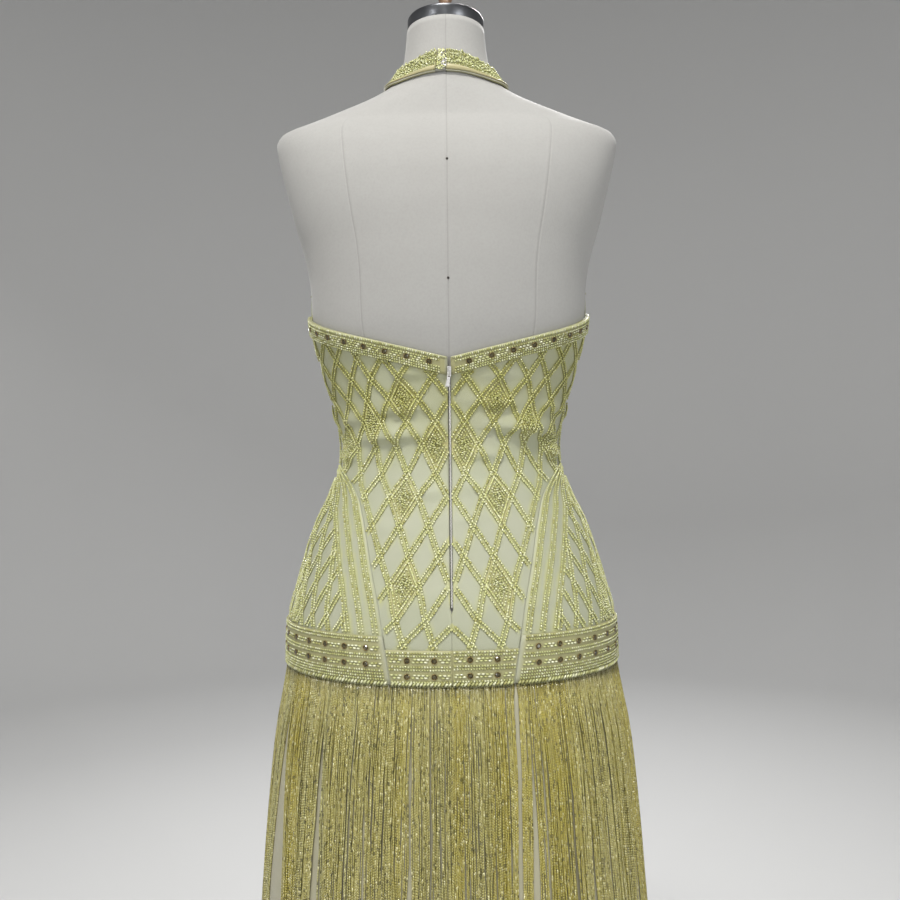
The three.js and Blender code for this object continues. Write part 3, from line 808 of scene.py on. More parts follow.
def value_of(tree, name):
    """A value that a piece's mesh carries."""
    return node(tree, "ShaderNodeAttribute", attribute_name=name).outputs["Fac"]


def place_of(tree):
    """The place on a piece, from its own Object coordinates."""
    return node(tree, "ShaderNodeTexCoord").outputs["Object"]


def parts_of(tree, vector):
    """The three numbers of a vector."""
    return node(tree, "ShaderNodeSeparateXYZ", {0: vector}).outputs


def uv_of(tree, name):
    return node(tree, "ShaderNodeUVMap", uv_map=name).outputs[0]


def noise(tree, place, scale, detail=3.0):
    """Soft noise, in features to the metre."""
    return node(tree, "ShaderNodeTexNoise", {"Vector": place, "Scale": scale, "Detail": detail}).outputs[0]


def stretched(tree, place, scale):
    return node(tree, "ShaderNodeMapping", {"Vector": place, "Scale": scale}).outputs[0]


def chance_of(tree, first, second):
    """A random value for each pair of numbers."""
    pair = node(tree, "ShaderNodeCombineXYZ", {0: first, 1: second}).outputs[0]
    return node(tree, "ShaderNodeTexWhiteNoise", {"Vector": pair}, noise_dimensions="2D").outputs["Value"]


def shader_group(name, inputs, outputs):
    """A new node group with named sockets. Returns it, its inputs and its output node."""
    group = bpy.data.node_groups.new(name, "ShaderNodeTree")
    for label, kind, default in inputs:
        socket = group.interface.new_socket(label, in_out="INPUT", socket_type="NodeSocket" + kind)
        if kind != "Vector":
            socket.default_value = default
    for label, kind in outputs:
        group.interface.new_socket(label, in_out="OUTPUT", socket_type="NodeSocket" + kind)
    return group, group.nodes.new("NodeGroupInput").outputs, group.nodes.new("NodeGroupOutput").inputs


def use_group(tree, group, inputs):
    """Places a node group in a material and returns its outputs."""
    return node(tree, "ShaderNodeGroup", inputs, node_tree=group).outputs


def new_material(name, **constants):
    """A material with one Principled shader, whose constants are set on its own sockets."""
    material = bpy.data.materials.new(name)
    material.use_nodes = True
    shader = material.node_tree.nodes["Principled BSDF"]
    for key, value in constants.items():
        shader.inputs[key.replace("_", " ").title().replace("Ior", "IOR")].default_value = value
    return material, material.node_tree, shader


def paint(tree, shader, tone, roughness):
    """Links a colour and a roughness to the shader."""
    tree.links.new(tone, shader.inputs["Base Color"])
    tree.links.new(roughness, shader.inputs["Roughness"])


def bump(tree, shader, height, strength, distance):
    made = node(tree, "ShaderNodeBump", {"Height": height, "Strength": strength, "Distance": distance})
    tree.links.new(made.outputs[0], shader.inputs["Normal"])


# ------------------------ shared effects


@cache
def weave_group():
    """Fine over-and-under weave with uneven yarns."""
    group, given, out = shader_group(
        "Fine Weave", [("Vector", "Vector", None), ("Yarns", "Float", 1000.0)],
        [("Height", "Float"), ("Slub", "Float")],
    )
    yarns = node(group, "ShaderNodeVectorMath", {0: given[0], "Scale": given[1]}, operation="SCALE").outputs[0]
    warp, weft = (
        calc(group, "SINE", times(group, part, 2 * math.pi)) for part in parts_of(group, yarns)[:2]
    )
    slub = noise(group, yarns, 0.11)
    group.links.new(calc(group, "ADD", times(group, warp, weft), slub), out[0])
    group.links.new(slub, out[1])
    return group


@cache
def age_group():
    """Soft, uneven greying of cloth over a large area."""
    group, given, out = shader_group(
        "Soft Age", [("Colour", "Color", (1, 1, 1, 1)), ("Aged", "Color", (1, 1, 1, 1)),
                     ("Scale", "Float", 8.0), ("Amount", "Float", 0.4)],
        [("Colour", "Color"), ("Mask", "Float")],
    )
    broad = node(group, "ShaderNodeTexNoise", {
        "Vector": place_of(group), "Scale": given[2], "Detail": 4.0, "Roughness": 0.6}).outputs[0]
    mask = times(group, spread(group, broad, 0.38, 0.7), given[3])
    group.links.new(mixed(group, mask, given[0], given[1]), out[0])
    group.links.new(mask, out[1])
    return group


@cache
def glass_group():
    """Colour and roughness of small glass beads, each a little different, with painted shade on the ring and
    underside of each bead below its crown.
    """
    group, given, out = shader_group(
        "Glass Beads", [("Shade", "Float", 0.5), ("Crown", "Float", 0.5), ("Bead", "Color", (1, 1, 1, 1)),
                        ("Gold", "Color", (1, 1, 1, 1)), ("Pale", "Float", 0.25)],
        [("Colour", "Color"), ("Roughness", "Float")],
    )
    shade, crown, bead, gold, palest = given[:5]
    glass = mixed(group, spread(group, shade, 0.0, 0.32, 1.0, 0.0), bead, gold)
    pale = times(group, spread(group, shade, 0.55, 0.8), palest)
    lit = mixed(group, pale, glass, (0.95, 0.95, 0.74))
    # painted shade: the ring and underside of each bead are darkened, and only its crown keeps the bead's own colour
    rim = mixed(group, 0.38, lit, (0.18, 0.18, 0.06))
    group.links.new(mixed(group, spread(group, crown, 0.15, 0.7), rim, lit), out[0])
    group.links.new(spread(group, shade, 0.0, 1.0, 0.34, 0.12), out[1])
    return group


# ------------------------ materials


def colours():
    """The colours that a user can change."""
    return bpy.context.scene.dress_colours


def woven(tree, place, yarns):
    """Height and unevenness of a weave, in yarns to the metre."""
    return use_group(tree, weave_group(), {"Vector": place, "Yarns": yarns})


def aged(tree, tone, older, scale, amount):
    """A cloth's colour, greyed in patches."""
    return use_group(tree, age_group(), {
        "Colour": opaque(tone), "Aged": opaque(older), "Scale": scale, "Amount": amount})[0]


def painted_shade_share(tree, place, most=1.0):
    """How far up the bodice a place is, for the shade painted darker towards the top."""
    return spread(tree, parts_of(tree, place)[2], *PAINTED_SHADE_HEIGHTS, 0.0, most)


@cache
def cover_cloth():
    """Closely woven cotton on the form, darker in its seams."""
    material, tree, shader = new_material("Form Cover Cloth", sheen_weight=0.2, sheen_roughness=0.6)
    place = place_of(tree)
    height, slub = woven(tree, place, 900.0)
    plain = aged(tree, colours().cover, (0.32, 0.31, 0.295), 7.0, 0.35)
    fleck = spread(tree, noise(tree, place, 420.0, 2.0), 0.4, 0.75, 0.0, 0.22)
    flecked = mixed(tree, fleck, plain, (0.27, 0.265, 0.25))
    tone = mixed(tree, value_of(tree, "seam"), flecked, (0.19, 0.185, 0.175))
    paint(tree, shader, tone, spread(tree, slub, 0.3, 0.7, 0.78, 0.92))
    bump(tree, shader, height, 0.12, 0.0002)
    return material


@cache
def dress_satin():
    """Pale satin, tinted by the stitches that show round the bead lines, with a wider painted glow of light through
    the beads round them, and shade painted darker towards the top.
    """
    material, tree, shader = new_material(
        "Dress Satin", sheen_weight=0.15, sheen_roughness=0.35, anisotropic=0.35)
    tones = colours()
    place = place_of(tree)
    mottle, broad = noise(tree, place, 140.0), noise(tree, place, 45.0)
    filled, stripe, bare = (value_of(tree, name) for name in ("filled", "stripe", "bare"))
    near = calc(tree, "MINIMUM", *(
        calc(tree, "ABSOLUTE", calc(tree, "SUBTRACT", calc(tree, "FRACT", calc(tree, "ADD", part, 0.5)), 0.5))
        for part in parts_of(tree, uv_of(tree, "trellis"))[:2]
    ))
    lattice = spread(tree, near, 0.08, 0.14, 1.0, 0.0)
    # painted glow: a wide, uneven tint round the bead lines stands in for light passing through the glass beads
    painted_glow = times(tree, spread(tree, near, 0.1, 0.27, 0.75, 0.0), spread(tree, broad, 0.36, 0.62))
    netted = times(tree, calc(tree, "MAXIMUM", lattice, painted_glow), calc(tree, "SUBTRACT", 1.0, bare))
    beaded = calc(tree, "MAXIMUM", calc(tree, "MAXIMUM", stripe, netted), filled)
    amount = times(tree, beaded, spread(tree, mottle, 0.3, 0.7, 0.55, 0.95))
    # painted shade: the satin and its tint are darkened towards the top of the bodice
    upper = times(tree, painted_shade_share(tree, place), spread(tree, broad, 0.3, 0.55, 0.5, 1.0))
    stitch_and_glow_tone = mixed(tree, filled, tones.stitch_and_glow, (0.53, 0.50, 0.22))
    shaded_stitch_and_glow = mixed(tree, upper, stitch_and_glow_tone, (0.76, 0.74, 0.52), "MULTIPLY")
    satin_stitched_and_glowing = mixed(tree, amount, aged(tree, tones.satin, (0.36, 0.38, 0.25), 11.0, 0.5), shaded_stitch_and_glow)
    tone = mixed(tree, upper, satin_stitched_and_glowing, (0.93, 0.92, 0.79), "MULTIPLY")
    height, slub = woven(tree, uv_of(tree, "cloth"), 2200.0)
    paint(tree, shader, tone, spread(tree, slub, 0.3, 0.7, 0.36, 0.5))
    puckered = calc(tree, "ADD", times(tree, height, 0.15), times(tree, amount, mottle))
    bump(tree, shader, puckered, 0.35, 0.0006)
    return material


@cache
def plain_satin(name, tone, roughness=0.42):
    """Unbeaded satin for the bands, rolls, tab and underskirt."""
    material, tree, shader = new_material(name, sheen_weight=0.2, sheen_roughness=0.35, anisotropic=0.3)
    ground = mixed(tree, value_of(tree, "plain"), tone, colours().satin)
    height, slub = woven(tree, place_of(tree), 1600.0)
    paint(tree, shader, aged(tree, ground, tuple(part * 0.8 for part in tone), 14.0, 0.4),
          spread(tree, slub, 0.3, 0.7, roughness - 0.06, roughness + 0.08))
    bump(tree, shader, height, 0.12, 0.0002)
    return material


@cache
def glass_beads(name="Trellis Beads", pale=0.45, depth=1.0, painted_shade=1.0):
    """Yellow-green glass beads, with shade painted darker towards the neckline where they are asked to be."""
    material, tree, shader = new_material(name, coat_weight=0.4, coat_roughness=0.12, ior=1.52)
    tones = colours()
    tone, roughness = use_group(tree, glass_group(), {
        "Shade": value_of(tree, "shade"), "Crown": value_of(tree, "crown"), "Pale": pale,
        "Bead": opaque([depth * part for part in tones.bead]),
        "Gold": opaque([depth * part for part in tones.bead_gold])})
    # painted shade: the beads are darkened towards the neckline
    upper = painted_shade_share(tree, place_of(tree), painted_shade)
    paint(tree, shader, mixed(tree, upper, tone, (0.80, 0.78, 0.58), "MULTIPLY"), roughness)
    return material


@cache
def fringe_beads():
    """Strings of tiny glass beads. Each bead along a strand has its own tone and tilt; dark runs are painted shadow
    between the strands, and strands just under the band are painted dark as its shadow.
    """
    material, tree, shader = new_material("Fringe Beads", coat_weight=0.5, coat_roughness=0.08)
    tones = colours()
    number, run = parts_of(tree, uv_of(tree, "strand"))[:2]
    chance = chance_of(tree, number, calc(tree, "FLOOR", run))
    shadow = chance_of(tree, number, calc(tree, "FLOOR", times(tree, run, 0.8)))
    strand = chance_of(tree, number, 0.5)
    bundle, top = value_of(tree, "bundle"), value_of(tree, "top")
    tone = mixed(tree, spread(tree, bundle, 0.45, 0.8), tones.fringe, tones.fringe_gold)
    for share, colour_there in (
        (spread(tree, bundle, 0.35, 0.1), (0.45, 0.435, 0.20)),
        (spread(tree, chance, 0.1, 0.9, 0.0, 0.45), (0.26, 0.24, 0.08)),
        (spread(tree, shadow, 0.13, 0.07, 0.0, 0.75), (0.07, 0.065, 0.02)),
        (spread(tree, chance, 0.9, 0.98), (0.78, 0.74, 0.40)),
        (times(tree, top, spread(tree, strand, 0.72, 0.8, 0.0, 0.8)), (0.50, 0.47, 0.30)),
        # painted shadow: some strands just under the band are painted near black
        (times(tree, top, spread(tree, strand, 0.72, 0.64, 0.0, 0.8)), (0.05, 0.045, 0.015)),
    ):
        tone = mixed(tree, share, tone, colour_there)
    paint(tree, shader, tone, spread(tree, chance, 0.0, 1.0, 0.4, 0.12))
    along = calc(tree, "FRACT", run)
    round_bead = calc(tree, "SINE", times(tree, along, math.pi))
    tilt = times(tree, calc(tree, "SUBTRACT", chance, 0.5), calc(tree, "SUBTRACT", along, 0.5))
    bump(tree, shader, calc(tree, "ADD", round_bead, times(tree, tilt, 1.4)), 0.9, 0.0008)
    return material


@cache
def metal(name, tone, roughness, scratch=0.1):
    """Metal with fine turning marks and handling marks."""
    material, tree, shader = new_material(name, metallic=1.0)
    place = place_of(tree)
    marks = noise(tree, stretched(tree, place, (30, 30, 900)), 1.0, 4.0)
    smear = noise(tree, place, 26.0, 4.0)
    worn = calc(tree, "ADD", spread(tree, smear, 0.35, 0.7, roughness, roughness + scratch),
                spread(tree, marks, 0.4, 0.7, 0.0, scratch * 0.5))
    darker = [part * 0.72 for part in tone]
    paint(tree, shader, mixed(tree, spread(tree, smear, 0.4, 0.75), tone, darker), worn)
    bump(tree, shader, marks, 0.05, 0.0001)
    return material


@cache
def turned_wood():
    """Polished wood of the knob."""
    material, tree, shader = new_material("Turned Wood", coat_weight=0.5, coat_roughness=0.15)
    grain = noise(tree, stretched(tree, place_of(tree), (220, 220, 30)), 1.0, 5.0)
    tone = mixed(tree, spread(tree, grain, 0.35, 0.65), (0.30, 0.17, 0.09), (0.16, 0.085, 0.045))
    paint(tree, shader, tone, spread(tree, grain, 0.3, 0.7, 0.3, 0.42))
    bump(tree, shader, grain, 0.1, 0.0002)
    return material


@cache
def crystal():
    """Smoky faceted stones."""
    material, tree, shader = new_material("Smoky Stones", coat_weight=0.8, coat_roughness=0.03)
    cloud = noise(tree, place_of(tree), 300.0, 2.0)
    tone = mixed(tree, spread(tree, cloud, 0.35, 0.65), (0.035, 0.03, 0.012), (0.09, 0.075, 0.03))
    paint(tree, shader, tone, spread(tree, cloud, 0.3, 0.7, 0.05, 0.16))
    return material


def band_beads():
    return glass_beads("Band Beads", 0.55, 0.86, 0.0)


def bugle_glass():
    return glass_beads("Bugle Beads", 0.75, 0.95, 0.0)


def band_satin():
    return plain_satin("Band Satin", (0.35, 0.335, 0.165), 0.5)


def silver():
    return metal("Silver Wire", (0.80, 0.79, 0.77), 0.3)


def dark_metal():
    return metal("Dark Polished Metal", (0.15, 0.155, 0.165), 0.3, 0.08)


# ------------------------ dress form


# Height and angle along the left seams of the cover, from the back round to the front.
LEFT_SEAMS = [
    [(786, 50), (1060, 53), (1170, 54.5), (1385, 57), (1430, 54), (1506, 50)],
    [(786, 0), (1506, 0)],
    [(786, -48), (1060, -52), (1190, -50), (1385, -48), (1506, -45)],
]
FORM_SEAMS = [
    [(786, 90), (1506, 90)], *LEFT_SEAMS, [(786, -90), (1506, -90)],
    *([(z, -180 - angle) for z, angle in seam] for seam in reversed(LEFT_SEAMS)),
]
# Across a seam: distance from it, how far the cloth stands out, and how dark it is.
SEAM_PROFILE = [(-2.4, 0.0, 0.0), (-0.8, 0.05, 0.0), (0.0, -0.4, 0.4), (0.8, 0.05, 0.0), (2.4, 0.0, 0.0)]
COVER_COLUMNS = 9


def cover_heights():
    """The form's sections with more rows between them."""
    rows = [z for z, *_ in FORM_SECTIONS]
    fine = [np.linspace(a, b, max(2, math.ceil((b - a) / 6)), endpoint=False) for a, b in zip(rows, rows[1:])]
    return np.concatenate([*fine, [rows[-1]]])


def form_cover():
    """The padded, cloth-covered form with its seams drawn in."""
    heights = cover_heights()
    angles, drops, marks = [], [], []
    lines = [smooth([(z, a) for z, a in seam], heights, 1) for seam in FORM_SEAMS]
    for number, line in enumerate(lines):
        following = lines[number + 1] if number + 1 < len(lines) else lines[0] - 360
        shown = np.clip((1396 - heights) / 22, 0, 1) if number % 2 else np.ones(len(heights))
        edges = []
        for offset, drop, mark in SEAM_PROFILE:
            edges.append(form.beside(line, heights, -offset))
            drops.append(drop * shown)
            marks.append(mark * shown)
        start, end = edges[-1], form.beside(following, heights, -SEAM_PROFILE[0][0])
        between = [start + (end - start) * t for t in np.linspace(0, 1, COVER_COLUMNS + 2)[1:-1]]
        for values in (drops, marks):
            values.extend([0 * shown] * COVER_COLUMNS)
        angles += edges + between
    angle = np.stack(angles, axis=1)
    z = np.repeat(heights[:, None], angle.shape[1], axis=1)
    points = form.point(angle, z) + form.normal(angle, z) * np.stack(drops, axis=1)[..., None]
    obj = mesh_object("form_cover", points, grid_faces(*angle.shape, closed=True)[:, ::-1])
    add_values(obj, "seam", np.stack(marks, axis=1))
    capped(obj)
    finish_piece(obj, cover_cloth(), nodes=["form_body"])


def pin_heads():
    """Two small dark tack heads on the centre seam."""
    for name, height in (("tack_upper", 1338.0), ("tack_lower", 1222.0)):
        place = tuple(part * MM for part in form.lifted(90.0, height, 0.25))
        obj = primitive("uv_sphere", segments=16, ring_count=8, radius=1.25 * MM, location=place)
        obj.name = name
        edit_all(obj)
        bpy.ops.transform.resize(value=(1, 0.5, 1), center_override=place)
        bpy.ops.object.mode_set(mode="OBJECT")
        settle(obj)
        finish_piece(obj, metal("Dark Tack", (0.06, 0.055, 0.05), 0.3))


# ------------------------ hard pieces


def settle(obj):
    """Puts a finished piece's place into its mesh and smooths its round faces."""
    only(obj)
    bpy.ops.object.transform_apply(location=True, rotation=True, scale=True)
    bpy.ops.object.shade_smooth_by_angle(angle=math.radians(35))


def stacked(name, rings, sides=96):
    """A turned piece: a disc that is extruded up and drawn in or out, ring by ring."""
    (radius, height), *others = rings
    obj = primitive("circle", vertices=sides, radius=radius * MM, fill_type="NGON", location=(0, 0, height * MM))
    obj.name = name
    edit_all(obj)
    for wide, high in others:
        bpy.ops.mesh.extrude_region_move(TRANSFORM_OT_translate={"value": (0, 0, (high - height) * MM)})
        share = wide / radius
        bpy.ops.transform.resize(value=(share, share, 1), center_override=(0, 0, high * MM))
        radius, height = wide, high
    facing_out()
    settle(obj)
    return obj


def rounded(radius, height, bend):
    """Rings of a quarter-round edge, from the side of a piece to its top."""
    turns = [math.pi / 2 * k / 4 for k in range(5)]
    return [(radius - bend * (1 - math.cos(t)), height + bend * math.sin(t)) for t in turns]


def stand_pieces():
    """The neck cap, the knob, the pole and the base of the form."""
    cap = stacked("cap_disc", [
        (39.5, 1506), (40.6, 1506.2), (41, 1506.9), (41, 1516.6), *rounded(41, 1516.6, 2.4),
        (38.2, 1519.4), (37.8, 1519.0), (12, 1519.4), (11, 1520),
    ])
    finish_piece(cap, dark_metal(), nodes=["neck_cap"])
    knob = stacked("cap_knob", [
        (8.6, 1520), (9, 1520.4), (9, 1522.4), (8.4, 1523.4), (6.4, 1525.4), (5.9, 1527.5), (5.7, 1534),
        (6.3, 1539), (8, 1543), (10.6, 1547), (12.4, 1550.5), (13, 1553.5), (12.5, 1556.6),
        (10.7, 1559.4), (7.6, 1561.3), (3.6, 1562),
    ], sides=64)
    finish_piece(knob, turned_wood(), nodes=["neck_knob"])
    pole = stacked("pole", [
        (15, 46), (16, 46.4), (16, 60), (15.4, 60.6), (15.4, 61.6), (16, 62.2), (16, 640), (15.2, 641),
        (15.2, 643), (16, 644), (16, 785.6), (15.4, 786),
    ], sides=64)
    finish_piece(pole, dark_metal(), nodes=["stand_pole"])
    base = stacked("base", [
        (147, 0), (148.6, 0.5), (149.6, 1.6), (150, 3), (150, 6.4), (149.3, 8.4), (147.6, 9.7), (144, 10.4),
        (120, 11.8), (90, 13.8), (60, 16.4), (44, 18.6), (34, 22.4), (29, 26.6), (26.2, 32), (25.2, 38),
        (24.6, 43.4), (23.8, 45.3), (22.6, 46),
    ], sides=128)
    finish_piece(base, dark_metal(), nodes=["stand_base"])


# ------------------------ bodice panels


def heights_between(low, high, step=5.0):
    """Even heights, about a step apart."""
    return np.linspace(low, high, max(2, round(abs(high - low) / step) + 1))


def sides_of(name):
    """The left piece and the mirrored right piece of a pair."""
    return [(f"{name}_left", False), (f"{name}_right", True)]


def panel_pair(part, node_name, seed, trellis, reach, filled, grid, trim=None, stripe=None, bare=None):
    """Both satin panels of a kind, with the values that their material reads, and their beads."""
    angle, z = grid
    for side, mirror in sides_of(part):
        beads = Beads(seed, mirror)
        trellis.lines(beads, BEAD_SEAT, reach)
        trellis.fill(beads, filled, BEAD_SEAT)
        if trim:
            trim(beads)
        beadwork = finish_piece(beads.make(f"beads_{side}"), glass_beads())
        obj, cut = cloth_piece(f"satin_{side}", figure, angle, z, CLEARANCE, CLOTH, mirror)
        add_uv(obj, "trellis", per_vertex=trellis.uv(angle, z).reshape(-1, 2))
        add_values(obj, "filled", trellis.filled_mask(angle, z, filled))
        for label, values in (("stripe", stripe), ("bare", bare)):
            add_values(obj, label, np.zeros(angle.shape) if values is None else values)
        thicken(obj, CLOTH)
        finish_piece(obj, dress_satin(), nodes=[side.replace(part, node_name)])


def back_panels():
    """The back panels, with the slot of the zip between them."""
    inner = lambda z, gap: figure.beside(90.0, z, -gap)
    rows = []
    for z in np.r_[heights_between(PANEL_BOTTOM, 1026, 4.6), heights_between(1028, WAIST - 1, 2.6)]:
        slot = ZIP_SLOT if z > ZIP_BOTTOM - 1 else JOIN
        rows.append((inner(z, slot), z, figure.beside(gore_angle(z), z, JOIN), z))
    for z in heights_between(WAIST, ARMHOLE, 2.6):
        rows.append((inner(z, ZIP_SLOT), z, figure.beside(0.0, z, JOIN), z))
    for t in np.linspace(0, 1, 22)[1:]:
        z, side = ARMHOLE + (NECK_DIP - ARMHOLE) * t, ARMHOLE + (NECK_SIDE - ARMHOLE) * t
        rows.append((inner(z, ZIP_SLOT), z, figure.beside(0.0, side, JOIN), side))
    angle, z = cloth_rows(rows, 64)
    to_seam = girth.distance(angle, z) - girth.distance(gore_angle(z), z) + SEAM_GAP
    bare = np.clip(to_seam / 2, 0, 1) * (z < GORE_TIP)
    panel_pair("back", "back_panel", 11, back_trellis, 16, BACK_FILLED, (angle, z), bare=bare)


def halter_edges(step):
    """Angles and heights of the neckline edge and the armhole edge of a front panel."""
    neck_z, from_centre, arm_z, arm = (smooth(HALTER_EDGES, step, column) for column in (1, 2, 3, 4))
    return figure.beside(-90.0, neck_z, np.maximum(from_centre, JOIN)), neck_z, arm, arm_z


def front_panels():
    """The front panels, which rise to the neck as a halter."""
    rows = []
    for z in heights_between(PANEL_BOTTOM, WAIST - 1, 5):
        rows.append((figure.beside(-90.0, z, JOIN), z, figure.beside(-gore_angle(z), z, -JOIN), z))
    for z in np.r_[heights_between(WAIST, 1120, 2.8), heights_between(1125, 1205, 5)]:
        rows.append((figure.beside(-90.0, z, JOIN), z, figure.beside(0.0, z, -JOIN), z))
    rows += list(np.stack(halter_edges(np.linspace(0, 6, 43)), axis=1))
    panel_pair("front", "front_panel", 21, front_trellis, 22, FRONT_FILLED, cloth_rows(rows, 44), halter_rim)


def halter_rim(beads):
    """Rows of beads along the neckline and the armhole of a front panel."""
    neck, neck_z, arm, arm_z = halter_edges(np.linspace(0, 6, 200))
    width = np.linalg.norm(figure.point(neck, neck_z) - figure.point(arm, arm_z), axis=-1)
    for distance in (1.3, 3.6, 5.9, 8.2):
        for share in (distance / width, 1 - distance / width):
            beads.line(figure, neck + (arm - neck) * share, neck_z + (arm_z - neck_z) * share, CLOTH_TOP + 0.6,
                       pitch=2.2, radius=1.05)


def gore_stripes(beads):
    """Double rows of beads along the stripes inside both seams of a gore."""
    z = np.linspace(SIDE_BAND_TOP + 1.5, 1038, 160)
    for side in (1, -1):
        for distance in GORE_STRIPES:
            start = girth.distance(side * gore_angle(z), z)
            angle = girth.angle(start + side * (distance * gore_scale(z)), z)
            beads.line(figure, angle, z, BEAD_SEAT, *DOUBLE_ROW)


def side_gores():
    """The side gores, striped along their seams."""
    rows = []
    for z in heights_between(PANEL_BOTTOM, GORE_TIP, 4.6):
        edge = gore_angle(z)
        rows.append((figure.beside(edge, z, -JOIN), z, figure.beside(-edge, z, JOIN), z))
    angle, z = cloth_rows(rows, 70)
    start, here, end = (girth.distance(at, z) for at in (gore_angle(z), angle, -gore_angle(z)))
    inset = np.minimum(here - start, end - here) / gore_scale(z)
    stripe = np.max([np.clip((5.2 - np.abs(inset - d)) / 2, 0, 1) for d in GORE_STRIPES], axis=0)
    panel_pair("gore", "side_gore", 31, gore_trellis, 14, GORE_FILLED, (angle, z), gore_stripes, stripe,
               (inset < STRIPES_WIDE).astype(float))


# ------------------------ bands


@cache
def stone_shape():
    """One faceted stone, pointing up at the origin."""
    stone = primitive("cylinder", vertices=8, radius=2.65, depth=1.0, location=(0, 0, 0.5))
    edit_faces(stone, lambda face: face.normal.z > 0.9)
    bpy.ops.mesh.extrude_region_move(TRANSFORM_OT_translate={"value": (0, 0, 0.85)})
    bpy.ops.transform.resize(value=(0.56, 0.56, 1), center_override=(0, 0, 1.85))
    bpy.ops.object.mode_set(mode="OBJECT")
    return template_of(stone)


@cache
def setting_shape():
    """The open metal cup round a stone."""
    points, faces = template_of(primitive(
        "torus", major_segments=12, minor_segments=4, major_radius=2.7, minor_radius=0.36))
    return points + [0, 0, 0.9], faces


def copies(name, shape, centre, normal, along, smooth_faces):
    """Copies of one small shape, seated on a surface and joined."""
    template, triangles = shape
    side = unit(np.cross(normal, along))
    axes = np.stack([np.cross(side, normal), side, normal], axis=1)
    points = centre[:, None, :] + np.einsum("vk,nkx->nvx", template, axes)
    faces = triangles[None] + np.arange(len(centre))[:, None, None] * len(template)
    return mesh_object(name, points, faces.reshape(-1, 3), smooth_faces)


def stones_on(name, angle, z, mirror):
    """Stones in their settings at some places of a band."""
    angle, z = facing(np.array(angle, float), mirror), np.array(z, float)
    place = (figure.lifted(angle, z, BAND_TOP), figure.normal(angle, z), np.tile([0.0, 0.0, 1.0], (len(angle), 1)))
    bronze = metal("Bronze Settings", (0.34, 0.25, 0.11), 0.28)
    return [
        finish_piece(copies(f"stones_{name}", stone_shape(), *place, False), crystal()),
        finish_piece(copies(f"settings_{name}", setting_shape(), *place, True), bronze),
    ]


def bugle_runs(beads, marks, height, gap):
    """Pairs of long beads between the stones of a row."""
    for start, end in zip(marks, marks[1:]):
        if abs(end - start) > 2 * gap + 0.8:
            inset = math.copysign(gap, end - start)
            run = np.linspace(start + inset, end - inset, 24)
            beads.line(figure, run, height(run), BAND_SEAT, (-1.2, 1.2), 4.0, 1.1, shape="bugle")


def band_cloth(side, angle, z, mirror, ends, plain=1.9, **sheet):
    """The cloth of a band, plain and pale near its ends."""
    obj, cut = cloth_piece(f"cloth_{side}", figure, angle, z, BAND_LIFT, BAND_THICKNESS, mirror)
    here = girth.distance(angle, z)
    near = np.minimum(np.abs(here - here[:, :1]) + ends[0], np.abs(here - here[:, -1:]) + ends[1])
    add_values(obj, "plain", np.clip((plain - near) / 0.8, 0, 1))
    thicken(obj, BAND_THICKNESS)
    finish_piece(obj, band_satin(), nodes=[side])


def neck_bands():
    """The back neckline band: cloth, a rolled edge, rows of beads and stones."""
    rows = []
    for drop in np.linspace(NECK_BAND_HEIGHT, 0, 6):
        low, high = NECK_DIP - drop, NECK_SIDE - drop
        rows.append((figure.beside(90.0, low, -ZIP_SLOT), low, figure.beside(0.0, high, JOIN), high))
    angle, z = cloth_rows(rows, 60)
    stones = [81.8, 72.6, 63.6, 54.4, 44.7, 34.8, 25.5, 15.5, 5.5]
    for side, mirror in sides_of("neck_band"):
        beads, bugles = Beads(41, mirror), Beads(43, mirror)
        first = 87.8 if mirror else 86.2
        run = np.linspace(first, 0.6, 300)
        for drop in (4.9, 11.6, 13.9, 16.2):
            beads.line(figure, run, neckline(run) - drop, BAND_SEAT, pitch=2.5, radius=1.25)
        bugles.line(figure, run, neckline(run) - 1.5, BAND_SEAT, pitch=1.9, radius=0.85, shape="bugle", upright=True)
        bugle_runs(bugles, [*stones, 0.8], lambda at: neckline(at) - STONE_DROP, 1.7)
        trims = [finish_piece(beads.make(f"beads_{side}"), band_beads()),
                 finish_piece(bugles.make(f"bugles_{side}"), bugle_glass())]
        trims += stones_on(side, stones, neckline(np.array(stones)) - STONE_DROP, mirror)
        run = np.linspace(figure.beside(90.0, NECK_DIP, -ZIP_SLOT - 0.6), 0.8, 90)
        path = figure.lifted(facing(run, mirror), neckline(run) - 0.6, BAND_TOP - 0.1)
        edge_satin = plain_satin("Edge Satin", (0.42, 0.42, 0.24))
        trims.append(finish_piece(tube(f"roll_{side}", path, 0.9), edge_satin))
        band_cloth(side, angle, z, mirror, (3 if mirror else 0, 9),
                   rests_on=[f"satin_back_{side.split('_')[-1]}"], with_pieces=trims)


